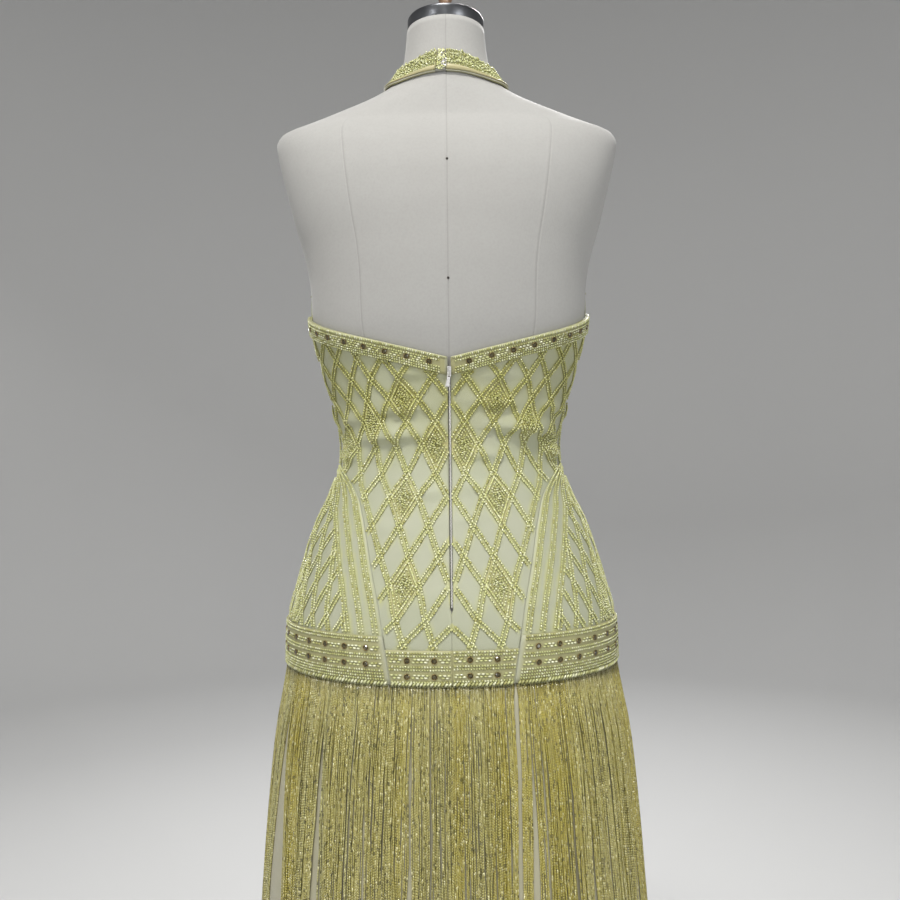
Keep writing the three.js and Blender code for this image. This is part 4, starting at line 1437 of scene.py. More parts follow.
def hip_bands():
    """The band round the hip, in six pieces, with two rows of stones, a rope of beads below, and a row of beads under
    the rope painted dark as shade.
    """
    parts = [
        # part, angles of its ends by height, top, heights of the stone rows, angles of the stones, columns,
        # how far the beads and the long beads keep from each end, and how much of an end is plain
        ("back", lambda z: (np.full_like(z, 90.0), gore_angle(z)), HIP_BAND_TOP, (859.6, 845.2),
         [84.5, 76.0], 30, (0.9, 1.6), (0.9, 2.4), 1.6),
        ("side", lambda z: (gore_angle(z), -gore_angle(z)), SIDE_BAND_TOP, (869.0, 854.0),
         [62.4, 54.4, 46.2, 37.6, 28.4, 18.6, 8.4, -2.0, -12.4, -22.6, -32.4, -41.6, -50.2, -58.6],
         60, (3.8, 3.8), (4.2, 4.2), 4.0),
        ("front", lambda z: (np.full_like(z, -90.0), -gore_angle(z)), HIP_BAND_TOP, (859.6, 845.2),
         [-84.5, -76.0], 30, (0.9, 1.6), (0.9, 2.4), 1.6),
    ]
    for part, edges, top, stone_rows, stones, columns, bead_gaps, bugle_gaps, plain in parts:
        sign = 1 if part == "front" else -1

        def ends_at(z, gaps):
            """Angles of the two ends at a height, drawn in by two gaps."""
            first, last = (float(end[0]) for end in edges(np.array([z])))
            return figure.beside(first, z, sign * gaps[0]), figure.beside(last, z, -sign * gaps[1])

        levels = np.linspace(PANEL_BOTTOM, top, 8)
        start, end = (figure.beside(at, levels, turn * JOIN) for at, turn in zip(edges(levels), (sign, -sign)))
        angle, height = cloth_rows(np.stack([start, levels, end, levels], axis=1), columns)
        middle = sum(stone_rows) / 2
        rows = [top - 1.4, top - 4.1, middle + 1.5, middle - 1.3]
        rows += list(np.arange(stone_rows[1] - 5.2, PANEL_BOTTOM + 3, -2.7))
        below = np.linspace(*ends_at(PANEL_BOTTOM, (0, 0)), 300)[2:-2]
        for side, mirror in sides_of(f"hip_band_{part}"):
            seeds = (51 + len(part) * 2, 71 + len(part) * 2, 91 + len(part), 95 + len(part))
            beads, bugles, rope, shadow = (Beads(seed, mirror) for seed in seeds)
            shift = 0.0 if mirror or part != "back" else -0.9
            for z in rows:
                run = np.linspace(*ends_at(z, bead_gaps), 300)
                level = np.full(300, z + min(shift, top - 1.2 - z))
                beads.line(figure, run, level, BAND_SEAT, pitch=2.6, radius=1.3)
            for z in stone_rows:
                first, last = ends_at(z, bugle_gaps)
                bugle_runs(bugles, [first - sign * 1.4, *stones, last + sign * 1.4],
                           lambda at: np.full(len(at), z + shift), 1.5)
            rope.line(figure, below, np.full(len(below), PANEL_BOTTOM + 1.3), BAND_SEAT + 0.2, pitch=3.4, radius=1.5,
                      shape="bugle", upright=True, slant=0.9)
            # a row of beads under the rope, painted dark as the shade under the band's edge
            shadow.line(figure, below, np.full(len(below), PANEL_BOTTOM - 1.2), BAND_TOP - 0.6, pitch=2.6, radius=1.4)
            kinds = (
                ("beads", beads, band_beads()), ("bugles", bugles, bugle_glass()), ("rope", rope, band_beads()),
                ("shaded_edge_beads", shadow, glass_beads("Dark Beads", 0.1, 0.4, 0.0)),
            )
            trims = [finish_piece(sewn.make(f"{kind}_{side}"), glass) for kind, sewn, glass in kinds]
            trims += stones_on(side, np.repeat(stones, 2), np.tile(stone_rows, len(stones)) + shift, mirror)
            band_cloth(side, angle, height, mirror, (0 if part == "side" else 6, 0), plain, with_pieces=trims)


# ------------------------ neck straps


def strap_edges(angle):
    """Heights of a strap's upper and lower edges."""
    return smooth(STRAP_EDGES, angle, 1), smooth(STRAP_EDGES, angle, 2)


def strap_end(gap):
    """The angle where a strap ends, a gap away from the centre back."""
    return figure.beside(90.0, STRAP_MIDDLE, -gap)


def strap_grid(first, end_gap, columns=70, low_share=0.0, high_share=np.ones_like):
    """Angles and heights along a strap, between shares of its height."""
    angle = np.linspace(first, strap_end(end_gap), columns)
    upper, lower = strap_edges(angle)
    z = lower[None] + (upper - lower)[None] * np.linspace(low_share, high_share(angle), 7)
    return np.repeat(angle[None], 7, axis=0), z


def tube(name, path, radius):
    """A round cord of cloth or wire along a path, with its ends closed."""
    path, sides = np.asarray(path, float), 10
    along = unit(np.gradient(path, axis=0))
    side = unit(np.cross(along, [0.03, 0.2, 1.0]))
    up = np.cross(side, along)
    turn = np.arange(sides) * 2 * math.pi / sides
    ring = side[:, None] * np.cos(turn)[None, :, None] + up[:, None] * np.sin(turn)[None, :, None]
    return capped(mesh_object(name, path[:, None] + ring * radius, grid_faces(len(path), sides, closed=True)))


def roll_share(angle):
    """How much of a strap's height its roll takes: most at the centre back."""
    return 0.09 + 0.21 * np.exp(-(((90 - angle) / 34) ** 2))


def scatter_beads(beads, angle, z, lift, radius):
    """Long beads that lie every way."""
    beads.add(figure.lifted(angle, z, lift), figure.normal(angle, z), beads.random.normal(0, 1, (len(angle), 3)),
              radius, "bugle")


def neck_straps():
    """Two padded straps with scattered beads, a satin roll below and pale piping, and the tab."""
    for name, mirror, gap in (("left", False, NECK_TAB_WIDTH), ("right", True, JOIN)):
        beads = Beads(61, mirror)
        last = strap_end(gap)
        run = np.linspace(-50.5, last - 0.6, 400)
        upper, lower = strap_edges(run)
        for row in np.linspace(0.05, 0.97, 11):
            share = roll_share(run) + (1 - roll_share(run)) * row
            wander = 0.4 * np.sin(run * 1.7 + row * 40)
            level = lower + (upper - lower) * share + wander
            beads.line(figure, run, level, STRAP_TOP + 0.5, pitch=2.05, radius=1.02)
        spots = np.linspace(-50, last - 1, 260)
        share = beads.random.uniform(0.36, 1.03, 260)
        high, low = strap_edges(spots)
        scatter_beads(beads, facing(spots, mirror), low + (high - low) * share, STRAP_TOP + 1.5, 0.9)
        strap_beads = glass_beads("Strap Beads", 0.4, 0.95, 0.0)
        trims = [finish_piece(beads.make(f"beads_strap_{name}"), strap_beads)]

        angle, z = strap_grid(-52, gap, low_share=0.02, high_share=roll_share)
        profile = np.sin(np.linspace(0, math.pi, 7))[:, None] * (roll_share(angle[0]) / 0.3)[None]
        roll, _ = cloth_piece(f"roll_strap_{name}", figure, angle, z, STRAP_TOP + 0.2 + 1.7 * profile, 0.8, mirror)
        thicken(roll, 0.8)
        trims.append(finish_piece(roll, plain_satin("Strap Roll Satin", tuple(colours().strap_roll), 0.4)))

        run = np.linspace(-51, last, 80)
        path = figure.lifted(facing(run, mirror), strap_edges(run)[1] + 0.2, STRAP_TOP - 0.4)
        pale_satin = plain_satin("Pale Satin", (0.50, 0.49, 0.38))
        trims.append(finish_piece(tube(f"piping_strap_{name}", path, 0.55), pale_satin))

        angle, z = strap_grid(-52, gap)
        obj, cut = cloth_piece(f"cloth_strap_{name}", figure, angle, z, STRAP_LIFT, STRAP_THICKNESS, mirror)
        thicken(obj, STRAP_THICKNESS)
        finish_piece(obj, band_satin(), nodes=[f"neck_strap_{name}"])

    angle, z = strap_grid(strap_end(NECK_TAB_WIDTH - SEAM), JOIN, 10)
    tab, _ = cloth_piece("cloth_neck_tab", figure, angle, z, STRAP_LIFT, STRAP_THICKNESS)
    thicken(tab, STRAP_THICKNESS)
    finish_piece(tab, plain_satin("Tab Satin", (0.24, 0.235, 0.20)), nodes=["neck_tab"])
    beads = Beads(67)
    spots = beads.random.uniform(strap_end(8.2), 89.2, 70)
    scatter_beads(beads, spots, beads.random.uniform(1442.5, 1465.5, 70), STRAP_TOP + 0.5, 0.85)
    crystals = finish_piece(beads.make("beads_neck_tab"), glass_beads("Clear Beads", 0.7, 1.1, 0.0))


# ------------------------ fastenings

HOOK_WIRE = 0.4
HOOK_BEND = 1.3
BEND_HEIGHT = 1446.0


def on_strap(x, z):
    """A place for the wire on the outside of a strap."""
    return figure.lifted(figure.beside(90.0, z, -x), z, STRAP_TOP + HOOK_WIRE + SEAM)


def smooth_path(points):
    """A smooth line of 60 points through a few points."""
    points, count = np.array(points, float), 60
    run = np.concatenate([[0], np.cumsum(np.linalg.norm(np.diff(points, axis=0), axis=1))])
    at = np.linspace(0, run[-1], count)
    return np.stack([
        smooth(list(zip(run, points[:, i])), at, 1) if np.ptp(points[:, i]) > 1e-6 else np.full(count, points[0, i])
        for i in range(3)
    ], axis=-1)


def neck_fastening():
    """The hook of silver wire and its eye."""
    x, y, z = on_strap(0, BEND_HEIGHT)
    bend = HOOK_BEND
    hook = smooth_path([
        on_strap(0, BEND_HEIGHT + 10), on_strap(0, BEND_HEIGHT + 5), (x, y, z),
        (x, y + bend * 0.3, z - bend * 0.95), (x, y + bend, z - bend * 1.3),
        (x, y + bend * 1.7, z - bend * 0.95), (x, y + bend * 2, z), (x, y + bend * 2, z + 3),
    ])
    finish_piece(tube("wire_hook", hook, HOOK_WIRE), silver(), nodes=["neck_hook"])
    bar = y + bend
    legs = [[on_strap(s * 2.6, BEND_HEIGHT + 8), on_strap(s * 2.6, BEND_HEIGHT + 4)] for s in (-1, 1)]
    eye = smooth_path([
        *legs[0], (-2.6, bar, z + 0.4), (-1.3, bar, z), (0, bar, z), (1.3, bar, z), (2.6, bar, z + 0.4),
        *legs[1][::-1],
    ])
    finish_piece(tube("wire_eye", eye, HOOK_WIRE), silver(), nodes=["neck_eye"])


@cache
def tooth_shape():
    """One tooth of the zip: a small block with its edges cut off."""
    tooth = primitive("cube", size=1)
    edit_all(tooth)
    bpy.ops.transform.resize(value=(1.05, 0.62, 0.8), center_override=(0, 0, 0))
    bpy.ops.mesh.bevel(offset=0.13, segments=1)
    bpy.ops.object.mode_set(mode="OBJECT")
    return template_of(tooth)


def box_piece(size, bevel=0):
    """A block of the slider or the pull at the origin, with its edges rounded if asked."""
    obj = primitive("cube", size=1)
    edit_all(obj)
    bpy.ops.transform.resize(value=tuple(part * MM for part in size), center_override=(0, 0, 0))
    if bevel:
        bpy.ops.mesh.bevel(offset=bevel * MM, segments=2)
    bpy.ops.object.mode_set(mode="OBJECT")
    return obj


def window_through(obj, margin, chosen):
    """Cuts a window between two faces that lie opposite, by inset and bridge."""
    edit_faces(obj, chosen)
    bpy.ops.mesh.inset(thickness=margin * MM)
    bpy.ops.mesh.bridge_edge_loops()
    facing_out()


def carry(obj, matrix):
    """Moves a finished piece's mesh to its place."""
    obj.data.transform(matrix)
    obj.data.update()
    return obj


def joined(name, objects):
    """Joins some objects into the first of them."""
    only(objects[0])
    for obj in objects:
        obj.select_set(True)
    bpy.ops.object.join()
    objects[0].name = name
    return objects[0]


SLIDER_MIDDLE = 1134.0
HEAD_BOTTOM = BAND_TOP + 0.6
HEAD_TOP = HEAD_BOTTOM + 0.8
CROWN_HALF = 4.5
CROWN_RISE = 2.8
CROWN_BAR = 0.8
PIN_LIFT = HEAD_TOP + 1.0
PIN_DROP = -2.1
PULL_LENGTH = 13.2
PULL_TILT = 10
# Places along the pull, from its free end up, and its share of the full width there.
PULL_WIDTHS = [(-PULL_LENGTH, 0.86), (-12.4, 1.06), (-10.2, 0.88), (-5.0, 0.88), (-4.1, 1.06), (0.45, 1.0)]


def zip_matrices():
    """Places of the slider and of the pull, leant with the back."""
    plain = Body(FORM_SECTIONS, 21)
    above, below = (plain.point(90.0, SLIDER_MIDDLE + step) for step in (5, -5))
    lean = -math.atan2(above[1] - below[1], above[2] - below[2])
    place = Vector(plain.point(90.0, SLIDER_MIDDLE) * MM)
    slider = Matrix.Translation(place) @ Matrix.Rotation(lean, 4, "X")
    hang = Matrix.Translation((0, PIN_LIFT * MM, PIN_DROP * MM))
    turn = Matrix.Rotation(-lean, 4, "X") @ Matrix.Rotation(math.radians(-PULL_TILT), 4, "Y")
    return slider, slider @ hang @ turn


def zip_pieces():
    """The zip: tapes, two rows of teeth, the slider and its pull tab."""
    z = np.arange(ZIP_BOTTOM + 3, ZIP_TOP - 0.5, 1.3)
    centres, normals = [], []
    for side, shift in ((-1, 0.0), (1, 0.65)):
        angle = figure.beside(90.0, z + shift, 0.3 + side * 0.33)
        centres.append(figure.lifted(angle, z + shift, CLOTH_TOP - 0.15))
        normals.append(figure.normal(angle, z + shift))
    normal = np.vstack(normals)
    across = np.tile([1.0, 0.0, 0.0], (len(normal), 1))
    chain = copies("zip_teeth", tooth_shape(), np.vstack(centres), normal, across, False)
    edge = heights_between(ZIP_BOTTOM + 2, ZIP_TOP, 5)
    rows = [(figure.beside(90.0, h, -1.3), h, figure.beside(90.0, h, 1.3), h) for h in edge]
    angle, height = cloth_rows(rows, 5)
    tape, _ = cloth_piece("zip_tape", figure, angle, height, CLEARANCE, 0.5)
    thicken(tape, 0.5)
    finish_piece(chain, metal("Zip Teeth", (0.93, 0.92, 0.89), 0.48), nodes=["zip_chain"])
    finish_piece(tape, plain_satin("Zip Tape", (0.11, 0.108, 0.09), 0.6))

    slider_place, pull_place = zip_matrices()
    head = box_piece((3.8, 0.8, 10), 0.28)
    carry(head, Matrix.Translation((0, (HEAD_BOTTOM + 0.4) * MM, 0)))
    stem = box_piece((2.2, HEAD_BOTTOM - CLEARANCE, 9), 0.2)
    carry(stem, Matrix.Translation((0, (HEAD_BOTTOM + CLEARANCE + 0.2) / 2 * MM, 0)))
    crown = box_piece((0.9, CROWN_RISE + 0.1, CROWN_HALF * 2))
    window_through(crown, CROWN_BAR, lambda face: abs(face.normal.x) > 0.9)
    carry(crown, Matrix.Translation((0, (HEAD_TOP + CROWN_RISE / 2 - 0.05) * MM, 0)))
    apply_modifier(crown, "BEVEL", width=0.14 * MM, segments=2)
    slider = joined("slider", [head, stem, crown])
    settle(carry(slider, slider_place))
    finish_piece(slider, silver(), nodes=["zip_slider"])

    plate = box_piece((3.4, 0.9, PULL_LENGTH + 0.45))
    carry(plate, Matrix.Translation((0, 0, -(PULL_LENGTH - 0.45) / 2 * MM)))
    edit_all(plate)
    for cut_at, _ in PULL_WIDTHS[4:0:-1]:
        bpy.ops.mesh.bisect(plane_co=(0, 0, cut_at * MM), plane_no=(0, 0, 1))
        bpy.ops.mesh.select_all(action="SELECT")
    bpy.ops.object.mode_set(mode="OBJECT")
    for vertex in plate.data.vertices:
        vertex.co.x *= float(np.interp(vertex.co.z / MM, *zip(*PULL_WIDTHS)))
    window_through(plate, 0.6, lambda face: abs(face.normal.y) > 0.9 and face.center.z > PULL_WIDTHS[4][0] * MM)
    apply_modifier(plate, "BEVEL", width=0.16 * MM, segments=2)
    plate.name = "pull_plate"
    settle(carry(plate, pull_place))
    finish_piece(plate, silver(), body=PULL, nodes=["zip_pull"])


# ------------------------ skirt and fringe

PARTINGS = [
    # angle, height where it opens, width once it is open, how far down it takes to open, how far it leans
    (26.2, 808, 37, 185, 0), (48, 800, 11, 160, 0), (109.9, 845, 3.8, 20, -2.5), (113.6, 765, 5.5, 110, -2),
    (64.5, 760, 2, 190, 0), (77.5, 810, 3.5, 190, 0), (90, 740, 2, 190, 0), (131, 750, 3, 190, 2),
    (140, 800, 3, 190, 0), (158, 770, 7, 190, 2), (-30, 770, 8, 190, 3), (-68, 790, 6, 190, -2),
    (-95, 730, 4, 190, 2), (-118, 800, 7, 190, -3), (-142, 760, 5, 190, 2), (-170, 740, 6, 190, -2),
    (3, 720, 5, 190, 0),
]
FRINGE_TOP = 835.9
# The lengths of fringe on the left: where each starts and ends.
FRINGE_PARTS = [("back", 72, 90), ("side_back", 24, 72), ("side", -24, 24), ("side_front", -72, -24),
                ("front", -90, -72)]


def underskirt():
    """Four satin panels under the fringe, with a few long soft folds."""
    material = plain_satin("Underskirt Satin", tuple(colours().underskirt), 0.4)
    made = {}
    for part, first, last in (("back", 90.0, 0.0), ("front", 0.0, -90.0)):
        rows = []
        for z in heights_between(PANEL_BOTTOM - 0.5, SKIRT_HEM, 16):
            rows.append((skirt.beside(first, z, -JOIN), z, skirt.beside(last, z, JOIN), z))
        angle, z = cloth_rows(rows, 34)
        down = np.clip((PANEL_BOTTOM - z) / 500, 0, 1)
        wave = 0.5 + 0.5 * np.sin(np.radians(angle) * 9 + 0.8)
        ripple = -1.6 * down * wave * np.abs(np.sin(np.radians(angle * 2)))
        for side, mirror in sides_of(f"underskirt_{part}"):
            obj, cut = cloth_piece(f"satin_{side}", skirt, angle, z, ripple, CLOTH, mirror)
            thicken(obj, CLOTH)
            finish_piece(obj, material, nodes=[side])
            made[side] = (obj, cut)
    return made


def strand_angles(random):
    """Even places all round, each moved a little, so that strands gather in small bundles."""
    count = bpy.context.scene.dress_sizes.strand_count
    angle = np.linspace(-90, 270, count, endpoint=False) + random.normal(0, 0.16, count)
    gather = np.radians(angle)
    return angle + 0.24 * np.sin(gather * 37 + 0.6) + 0.18 * np.sin(gather * 59 + 2.0)


def smooth_noise(random, angle, every):
    """A slowly changing random value round the skirt, from 0 to 1."""
    knots = random.random(round(360 / every))
    place = (angle + 90) / every % len(knots)
    i = place.astype(int) % len(knots)
    t = place - np.floor(place)
    t = t * t * (3 - 2 * t)
    return knots[i] * (1 - t) + knots[(i + 1) % len(knots)] * t


def fringe():
    """Ten lengths of bead fringe, made of separate strands."""
    random = np.random.default_rng(71)
    angle = strand_angles(random)
    count = len(angle)
    layer = random.choice([1.9, 2.9, 4.0], count, p=[0.36, 0.36, 0.28]) + random.normal(0, 0.25, count)
    hem = FRINGE_HEM + random.normal(3, 3.0, count).clip(-2, 12)
    steps = 30
    fall = np.linspace(0, 1, steps) ** 1.12
    z = FRINGE_TOP - (FRINGE_TOP - hem)[:, None] * fall[None]
    per_degree = 3.1  # millimetres round the skirt
    down = (FRINGE_TOP - z) / 800
    phase = random.random((count, 3)) * 2 * math.pi
    sway = 0.9 * np.sin(down * 9 + phase[:, :1]) + 0.5 * np.sin(down * 23 + phase[:, 1:2])
    lean = random.normal(0, 2.4, count)[:, None] * down
    comb = 3.2 * (smooth_noise(random, angle, 2.6) - 0.5)[:, None] * np.clip(down * 6, 0, 1)
    kinks = random.normal(0, 0.4, (count, steps))
    shift = sway * np.clip(down * 5, 0, 1) + lean + comb + kinks
    settled = np.zeros_like(z)
    for middle, opens, width, length, leans in PARTINGS:
        away = (angle - middle + 180) % 360 - 180
        ramp = np.clip((opens - z) / length, 0, 1)
        push = np.where(away < 0, -1, 1) * np.exp(-np.abs(away) * per_degree / max(13, 0.8 * width))
        shift = shift + push[:, None] * (width / 2 + 1) * ramp
        shift = shift + leans * np.exp(-((away / 7) ** 2))[:, None] * np.clip(down * 4, 0, 1)
        settled = np.maximum(settled, np.exp(-((away / 3.2) ** 2))[:, None] * np.clip(2 * ramp, 0, 1))
    turned_angle = angle[:, None] + shift / per_degree
    layered = np.maximum(layer[:, None] - 1.9 + 0.35 * np.sin(down * 15 + phase[:, 2:]), 0)
    lift = CLOTH + 0.85 + layered * np.clip(down * 14, 0, 1) * (1 - 0.85 * settled)
    centre = skirt.lifted(turned_angle, z, lift)
    normal = skirt.normal(turned_angle, z)
    along = unit(np.gradient(centre, axis=1))
    side = unit(np.cross(normal, along))
    radius = bpy.context.scene.dress_sizes.strand_size / MM * random.uniform(0.85, 1.12, count)[:, None]
    twist = random.random(count)[:, None] * math.pi + down * 6
    rings = []
    for corner in range(4):
        turn = twist + corner * math.pi / 2
        rings.append(centre + radius[..., None] * (side * np.cos(turn)[..., None] + normal * np.sin(turn)[..., None]))
    points = np.stack(rings, axis=2)
    bundle = 0.55 * smooth_noise(random, angle, 5.5) + 0.3 * smooth_noise(random, angle, 2.1)
    bundle = bundle + 0.15 * random.random(count)
    hung = np.cumsum(np.linalg.norm(np.diff(centre, axis=1), axis=-1), axis=1)
    run = np.concatenate([np.zeros((count, 1)), hung], axis=1)
    material = fringe_beads()
    turn = (angle + 90) % 360 - 90
    made = {}
    for part, low, high in FRINGE_PARTS:
        for name, mirror in sides_of(part):
            first, last = (180 - high, 180 - low) if mirror else (low, high)
            chosen = np.flatnonzero((turn >= first) & (turn < last))
            strands = (values[chosen] for values in (points, run, bundle, z))
            made[name] = strand_mesh(f"strands_{name}", *strands, chosen)
            finish_piece(made[name], material, nodes=[f"fringe_{name}"])
    return made


def strand_mesh(name, points, run, bundle, z, numbers):
    """One mesh of many closed four-sided strands."""
    count, steps = points.shape[:2]
    grid = grid_faces(steps, 4, closed=True)
    ends = np.array([[3, 2, 1, 0], [steps * 4 - 4, steps * 4 - 3, steps * 4 - 2, steps * 4 - 1]])
    one = np.vstack([grid, ends])
    faces = (one[None] + np.arange(count)[:, None, None] * steps * 4).reshape(-1, 4)
    obj = mesh_object(name, points, faces)
    level, across = one // 4, (one % 4).astype(float)
    around = (across.max(axis=1) == 3) & (across.min(axis=1) == 0) & (level.max(axis=1) > level.min(axis=1))
    across[around[:, None] & (across == 0)] = 4
    u = (np.arange(count)[:, None, None] + (0.1 + across[None] * 0.2)) / count
    v = level[None] / (steps - 1) * 0.98 + 0.01 + np.zeros_like(u)
    add_uv(obj, "OFBake", per_loop=np.stack([u, v], axis=-1).reshape(-1, 2))
    beads_along = run / 2.4 + (numbers[:, None] * 0.618) % 1
    strand = np.stack([np.repeat(numbers[:, None], steps, axis=1) + 0.5, beads_along], axis=-1)
    add_uv(obj, "strand", per_vertex=np.repeat(strand[:, :, None, :], 4, axis=2).reshape(-1, 2))
    add_values(obj, "bundle", np.repeat(bundle, steps * 4))
    # top marks the part of each strand just under the band, where the material paints some strands pale and others
    # dark as the band's shadow
    add_values(obj, "top", np.repeat(np.clip((z - 818) / 9, 0, 1).ravel(), 4))
    return obj


def skirt_pieces():
    """The underskirt and the fringe that hangs over it."""
    panels = underskirt()
    lengths = fringe()


# ------------------------ stage


def area_light(name, place, target, size, power, tone=(1, 1, 1), height=None):
    """A soft light that faces a target and isn't seen itself."""
    light = bpy.data.lights.new(name, "AREA")
    light.energy = power
    light.shape = "RECTANGLE"
    light.size = size
    light.size_y = height or size
    light.color = tone
    obj = bpy.data.objects.new(name, light)
    obj.location = place
    obj.rotation_euler = (Vector(target) - Vector(place)).to_track_quat("-Z", "Y").to_euler()
    obj.visible_camera = False
    bpy.context.scene.collection.objects.link(obj)


def stage():
    """A pale floor that curves up all round, soft lights and the camera."""
    profile = [(1.2, 0.0), (2.4, 0.0), (3.2, 0.0)]
    profile += [(3.2 + 1.1 * math.sin(t), 1.1 * (1 - math.cos(t))) for t in np.linspace(0, math.pi / 2, 12)[1:]]
    profile += [(4.3, 6.0)]
    turn = np.linspace(0, 2 * math.pi, 97)[:-1]
    rings = [[(r * math.cos(t) * 1000, r * math.sin(t) * 1000, z * 1000 - 0.5) for t in turn] for r, z in profile]
    faces = grid_faces(len(rings), 96, closed=True)
    bowl = mesh_object("studio_floor", np.array(rings), faces)
    middle = np.array([(1210 * math.cos(t), 1210 * math.sin(t), -0.6) for t in turn])
    disc = mesh_object("studio_floor_middle", middle, np.arange(96)[None])
    material, tree, shader = new_material("Studio Floor", roughness=0.9)
    cloud = node(tree, "ShaderNodeTexNoise", {"Vector": place_of(tree), "Scale": 0.8}).outputs[0]
    tree.links.new(mixed(tree, cloud, (0.56, 0.56, 0.56), (0.58, 0.58, 0.575)), shader.inputs["Base Color"])
    for obj in (bowl, disc):
        obj.data.materials.append(material)

    world = bpy.data.worlds.new("Studio")
    bpy.context.scene.world = world
    world.use_nodes = True
    world.node_tree.nodes["Background"].inputs[0].default_value = (0.93, 0.96, 1.0, 1)
    world.node_tree.nodes["Background"].inputs[1].default_value = 0.16

    bodice = (0, 0, 1.15)
    area_light("key", (0.3, 1.4, 3.5), bodice, 0.55, 73, (1.0, 0.98, 0.94))
    area_light("sparkle_left", (1.3, 1.8, 1.8), bodice, 0.1, 5)
    area_light("sparkle_right", (-1.4, 1.7, 1.6), bodice, 0.1, 5)
    area_light("low_left", (1.9, 1.8, 0.9), (0, 0, 0.6), 0.6, 9)
    area_light("fill", (-1.7, 2.2, 1.1), bodice, 1.2, 15, (0.95, 0.97, 1.0))
    area_light("front", (-0.5, -2.0, 3.0), bodice, 0.7, 64)
    area_light("front_sparkle", (0.9, -1.9, 1.6), bodice, 0.1, 6)
    area_light("cap_streak", (0.12, 2.6, 1.7), (0, 0, 1.5), 0.2, 3.5, height=1.1)
    area_light("overhead", (0, 0.1, 3.8), (0, 0, 1.2), 1.2, 14)

    camera = bpy.data.cameras.new("camera")
    camera.sensor_width = 36
    camera.lens = 34.44
    camera.clip_start = 0.05
    camera.clip_end = 40
    obj = bpy.data.objects.new("camera", camera)
    obj.location = (0, 0.930, 1.056)
    look = Matrix.Rotation(math.pi, 4, "Z") @ Matrix.Rotation(math.pi / 2, 4, "X")
    obj.rotation_euler = (look @ Matrix.Rotation(math.radians(-0.6), 4, "Z")).to_euler()
    bpy.context.scene.collection.objects.link(obj)
    bpy.context.scene.camera = obj
    bpy.context.scene.view_settings.view_transform = "Standard"


# ------------------------ operators


class Step:
    """What the operators share."""

    bl_options = {"REGISTER", "UNDO"}


class DRESS_OT_form_cover(Step, bpy.types.Operator):
    """Build the padded cover of the dress form and its tacks"""

    bl_idname = "dress.form_cover"
    bl_label = "Form Cover"
    def execute(self, context):
        form_cover()
        pin_heads()
        return {"FINISHED"}


class DRESS_OT_stand(Step, bpy.types.Operator):
    """Build the neck cap, knob, pole and base"""

    bl_idname = "dress.stand"
    bl_label = "Stand"
    def execute(self, context):
        stand_pieces()
        return {"FINISHED"}


class DRESS_OT_back_panels(Step, bpy.types.Operator):
    """Build the beaded back panels"""

    bl_idname = "dress.back_panels"
    bl_label = "Back Panels"
    def execute(self, context):
        back_panels()
        return {"FINISHED"}


class DRESS_OT_front_panels(Step, bpy.types.Operator):
    """Build the beaded halter front panels"""

    bl_idname = "dress.front_panels"
    bl_label = "Front Panels"
    def execute(self, context):
        front_panels()
        return {"FINISHED"}


class DRESS_OT_side_gores(Step, bpy.types.Operator):
    """Build the striped side gores"""

    bl_idname = "dress.side_gores"
    bl_label = "Side Gores"
    def execute(self, context):
        side_gores()
        return {"FINISHED"}


class DRESS_OT_neck_bands(Step, bpy.types.Operator):
    """Build the back neckline bands"""

    bl_idname = "dress.neck_bands"
    bl_label = "Neckline Bands"
    def execute(self, context):
        neck_bands()
        return {"FINISHED"}


class DRESS_OT_hip_bands(Step, bpy.types.Operator):
    """Build the bands round the hip"""

    bl_idname = "dress.hip_bands"
    bl_label = "Hip Bands"
    def execute(self, context):
        hip_bands()
        return {"FINISHED"}


class DRESS_OT_neck_straps(Step, bpy.types.Operator):
    """Build the neck straps and their tab"""

    bl_idname = "dress.neck_straps"
    bl_label = "Neck Straps"
    def execute(self, context):
        neck_straps()
        return {"FINISHED"}


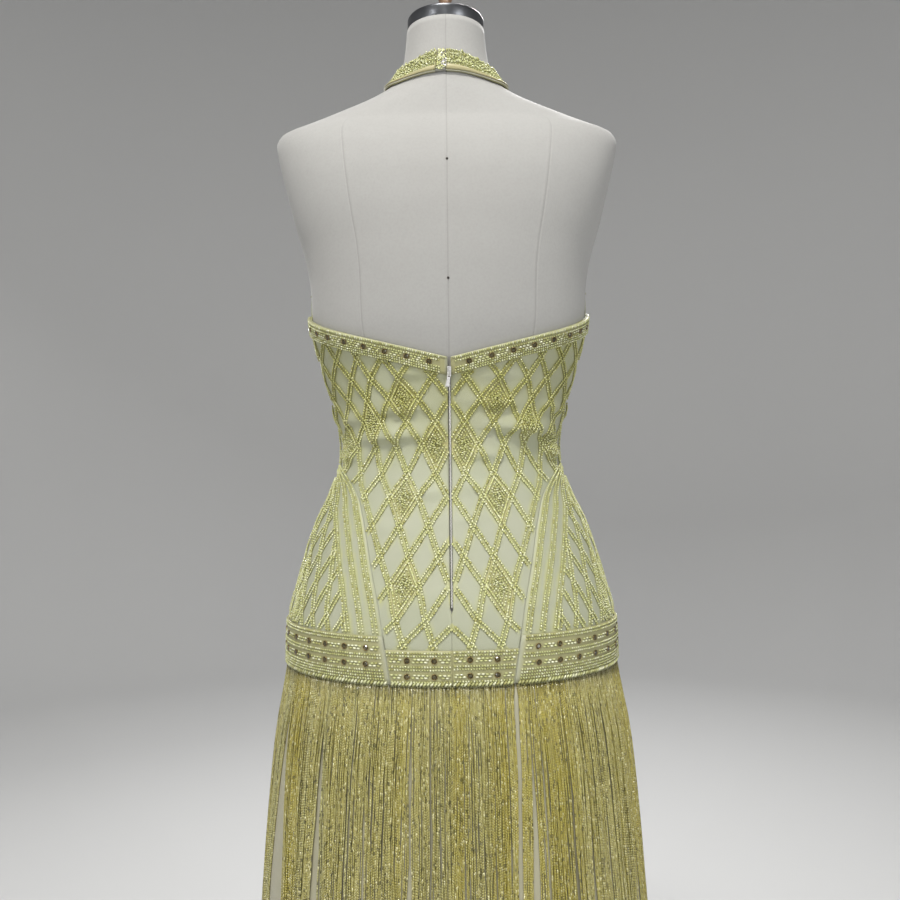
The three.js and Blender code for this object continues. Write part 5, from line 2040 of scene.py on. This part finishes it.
class DRESS_OT_fastening(Step, bpy.types.Operator):
    """Build the hook and eye"""

    bl_idname = "dress.fastening"
    bl_label = "Hook and Eye"
    def execute(self, context):
        neck_fastening()
        return {"FINISHED"}


class DRESS_OT_zip(Step, bpy.types.Operator):
    """Build the zip, its slider and its pull"""

    bl_idname = "dress.zip"
    bl_label = "Zip"
    def execute(self, context):
        zip_pieces()
        return {"FINISHED"}


class DRESS_OT_skirt(Step, bpy.types.Operator):
    """Build the underskirt and the bead fringe"""

    bl_idname = "dress.skirt"
    bl_label = "Skirt and Fringe"
    def execute(self, context):
        skirt_pieces()
        return {"FINISHED"}


class DRESS_OT_stage(Step, bpy.types.Operator):
    """Build the floor, the lights and the camera"""

    bl_idname = "dress.stage"
    bl_label = "Stage"
    def execute(self, context):
        stage()
        return {"FINISHED"}


OPERATORS = [
    DRESS_OT_form_cover, DRESS_OT_stand, DRESS_OT_back_panels, DRESS_OT_front_panels, DRESS_OT_side_gores,
    DRESS_OT_neck_bands, DRESS_OT_hip_bands, DRESS_OT_neck_straps, DRESS_OT_fastening, DRESS_OT_zip,
    DRESS_OT_skirt, DRESS_OT_stage,
]


class DRESS_PT_panel(bpy.types.Panel):
    """Lists the steps that build the dress."""

    bl_label = "Beaded Dress"
    bl_space_type = "VIEW_3D"
    bl_region_type = "UI"
    bl_category = "Dress"

    def draw(self, context):
        for operator in OPERATORS:
            self.layout.operator(operator.bl_idname)


CLASSES = [DressColours, DressSizes, *OPERATORS, DRESS_PT_panel]


def register():
    for item in CLASSES:
        bpy.utils.register_class(item)
    bpy.types.Scene.dress_colours = bpy.props.PointerProperty(type=DressColours)
    bpy.types.Scene.dress_sizes = bpy.props.PointerProperty(type=DressSizes)


def unregister():
    del bpy.types.Scene.dress_sizes
    del bpy.types.Scene.dress_colours
    for item in reversed(CLASSES):
        bpy.utils.unregister_class(item)


def main():
    register()
    for operator in OPERATORS:
        getattr(bpy.ops.dress, operator.bl_idname.split(".")[1])()
    bpy.context.view_layer.update()


if __name__ == "__main__":
    main()
